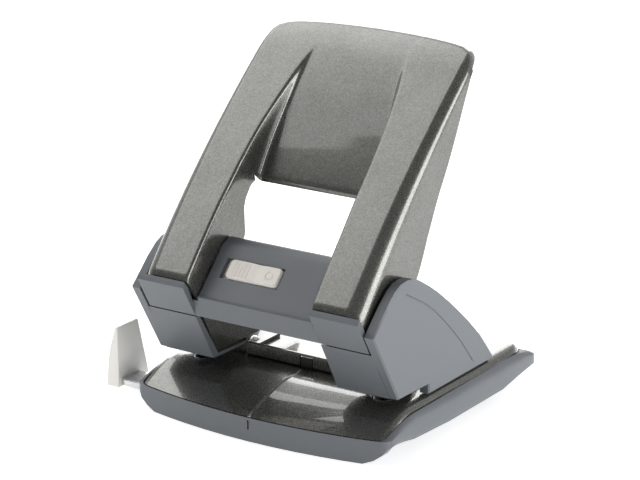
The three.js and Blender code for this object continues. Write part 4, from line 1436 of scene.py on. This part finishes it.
@dataclass
class Studio:
    """Floor, soft lights and camera."""

    azimuth: float = 34.16
    elevation: float = 17.95
    roll: float = -0.45
    distance: float = 1.0142
    lens: float = 157.48
    target: Point = (0.00679, 0.032, 0.0674)
    floor_half: float = 1.15
    floor_glow: float = 0.6
    bright_side: Point = (-0.56, 0.83, 0.1)
    dim_room: Colour = (0.24, 0.24, 0.24)
    bright_room: Colour = (0.85, 0.85, 0.85)
    room_turn: tuple[float, float] = (0.15, 0.75)
    backdrop: Colour = (0.97, 0.97, 0.97)
    lamps: tuple[Lamp, ...] = (
        Lamp("overhead", (-0.744, -0.01, 1.0), (0.0, -0.01, 0.06), (1.49, 0.8), 7.2),
        Lamp("right_side", (1.17, 0.22, 0.32), (0.0, 0.04, 0.06), (1.2, 0.5), 10.4),
        Lamp("back_left", (-0.70, 1.06, 0.46), (0.0, 0.04, 0.06), (0.9, 0.6), 4.2),
    )

    def camera(self) -> None:
        """Sets the camera at the viewing angle."""
        a, e, r = (math.radians(v) for v in (self.azimuth, self.elevation, self.roll))
        back = Vector((math.sin(a) * math.cos(e), -math.cos(a) * math.cos(e), math.sin(e)))
        level = Vector((math.cos(a), math.sin(a), 0))
        up = back.cross(level)
        right = level * math.cos(r) + up * math.sin(r)
        top = up * math.cos(r) - level * math.sin(r)
        place = Vector(self.target) + back * self.distance
        data = bpy.data.cameras.new("camera")
        data.lens = self.lens
        data.sensor_width = 36.0
        data.clip_start, data.clip_end = 0.05, 30.0
        made = stand("camera", data)
        rows = [(right[i], top[i], back[i], place[i]) for i in range(3)]
        made.matrix_world = Matrix([*rows, (0.0, 0.0, 0.0, 1.0)])
        bpy.context.scene.camera = made

    def floor(self) -> None:
        """A plain pale floor."""
        mesh = bpy.data.meshes.new("floor")
        size = self.floor_half
        corners = [(-size, -size, 0), (size, -size, 0), (size, size, 0), (-size, size, 0)]
        mesh.from_pydata(corners, [], [(0, 1, 2, 3)])
        made = stand("floor", mesh)
        pale = Shader("pale_floor").set(
            Base_Color=(0.93, 0.93, 0.93),
            Roughness=0.6,
            Emission_Color=(1.0, 1.0, 1.0),
            Emission_Strength=self.floor_glow,
        )
        mesh.materials.append(pale)

    @staticmethod
    def light(lamp: Lamp) -> None:
        """Sets up one light.

        Args:
            lamp: The light.
        """
        data = bpy.data.lights.new(lamp.name, "AREA")
        data.shape = "RECTANGLE"
        data.size, data.size_y = lamp.size
        data.energy = lamp.watts
        made = stand(lamp.name, data)
        made.location = lamp.place
        made.rotation_mode = "QUATERNION"
        made.rotation_quaternion = (Vector(lamp.aim) - Vector(lamp.place)).to_track_quat("-Z", "Y")

    def sky(self) -> None:
        """A soft room: bright behind the object to the left, dim to the right and in front."""
        world = bpy.data.worlds.new("room")
        world.use_nodes = True
        bpy.context.scene.world = world
        graph = Graph(world.node_tree)
        where = graph.node("ShaderNodeTexCoord", output="Generated", kind=Kind.VECTOR)
        dot = {"operation": "DOT_PRODUCT"}
        towards = graph.node("ShaderNodeVectorMath", dot, {0: where, 1: self.bright_side}, output="Value")
        stops = list(zip(self.room_turn, (self.dim_room, self.bright_room)))
        room = graph.node("ShaderNodeValToRGB", {}, {0: towards}, kind=Kind.COLOUR, stops=stops)
        lit = graph.node("ShaderNodeBackground", {}, {0: room})
        seen = graph.node("ShaderNodeBackground", {}, {0: self.backdrop})
        camera_ray = graph.node("ShaderNodeLightPath", output="Is Camera Ray")
        pick = graph.node("ShaderNodeMixShader", {}, {0: camera_ray, 1: lit, 2: seen})
        graph.tree.nodes.remove(graph.tree.nodes["Background"])
        graph.feed(graph.tree.nodes["World Output"].inputs[0], pick)

    def build(self) -> None:
        """Sets up the studio."""
        self.camera()
        self.floor()
        self.sky()
        for lamp in self.lamps:
            self.light(lamp)
        bpy.context.scene.view_settings.view_transform = "Standard"


def main() -> None:
    """Builds the punch and its studio."""
    logging.basicConfig(level=logging.INFO, format="%(message)s")
    Studio().build()
    shop = Workshop(FinishShelf())
    for assembly in (Base(shop), Towers(shop), Punches(shop), Handle(shop), Lock(shop), Guide(shop)):
        assembly.build()
        LOG.info("%s done", type(assembly).__name__)


if __name__ == "__main__":
    main()
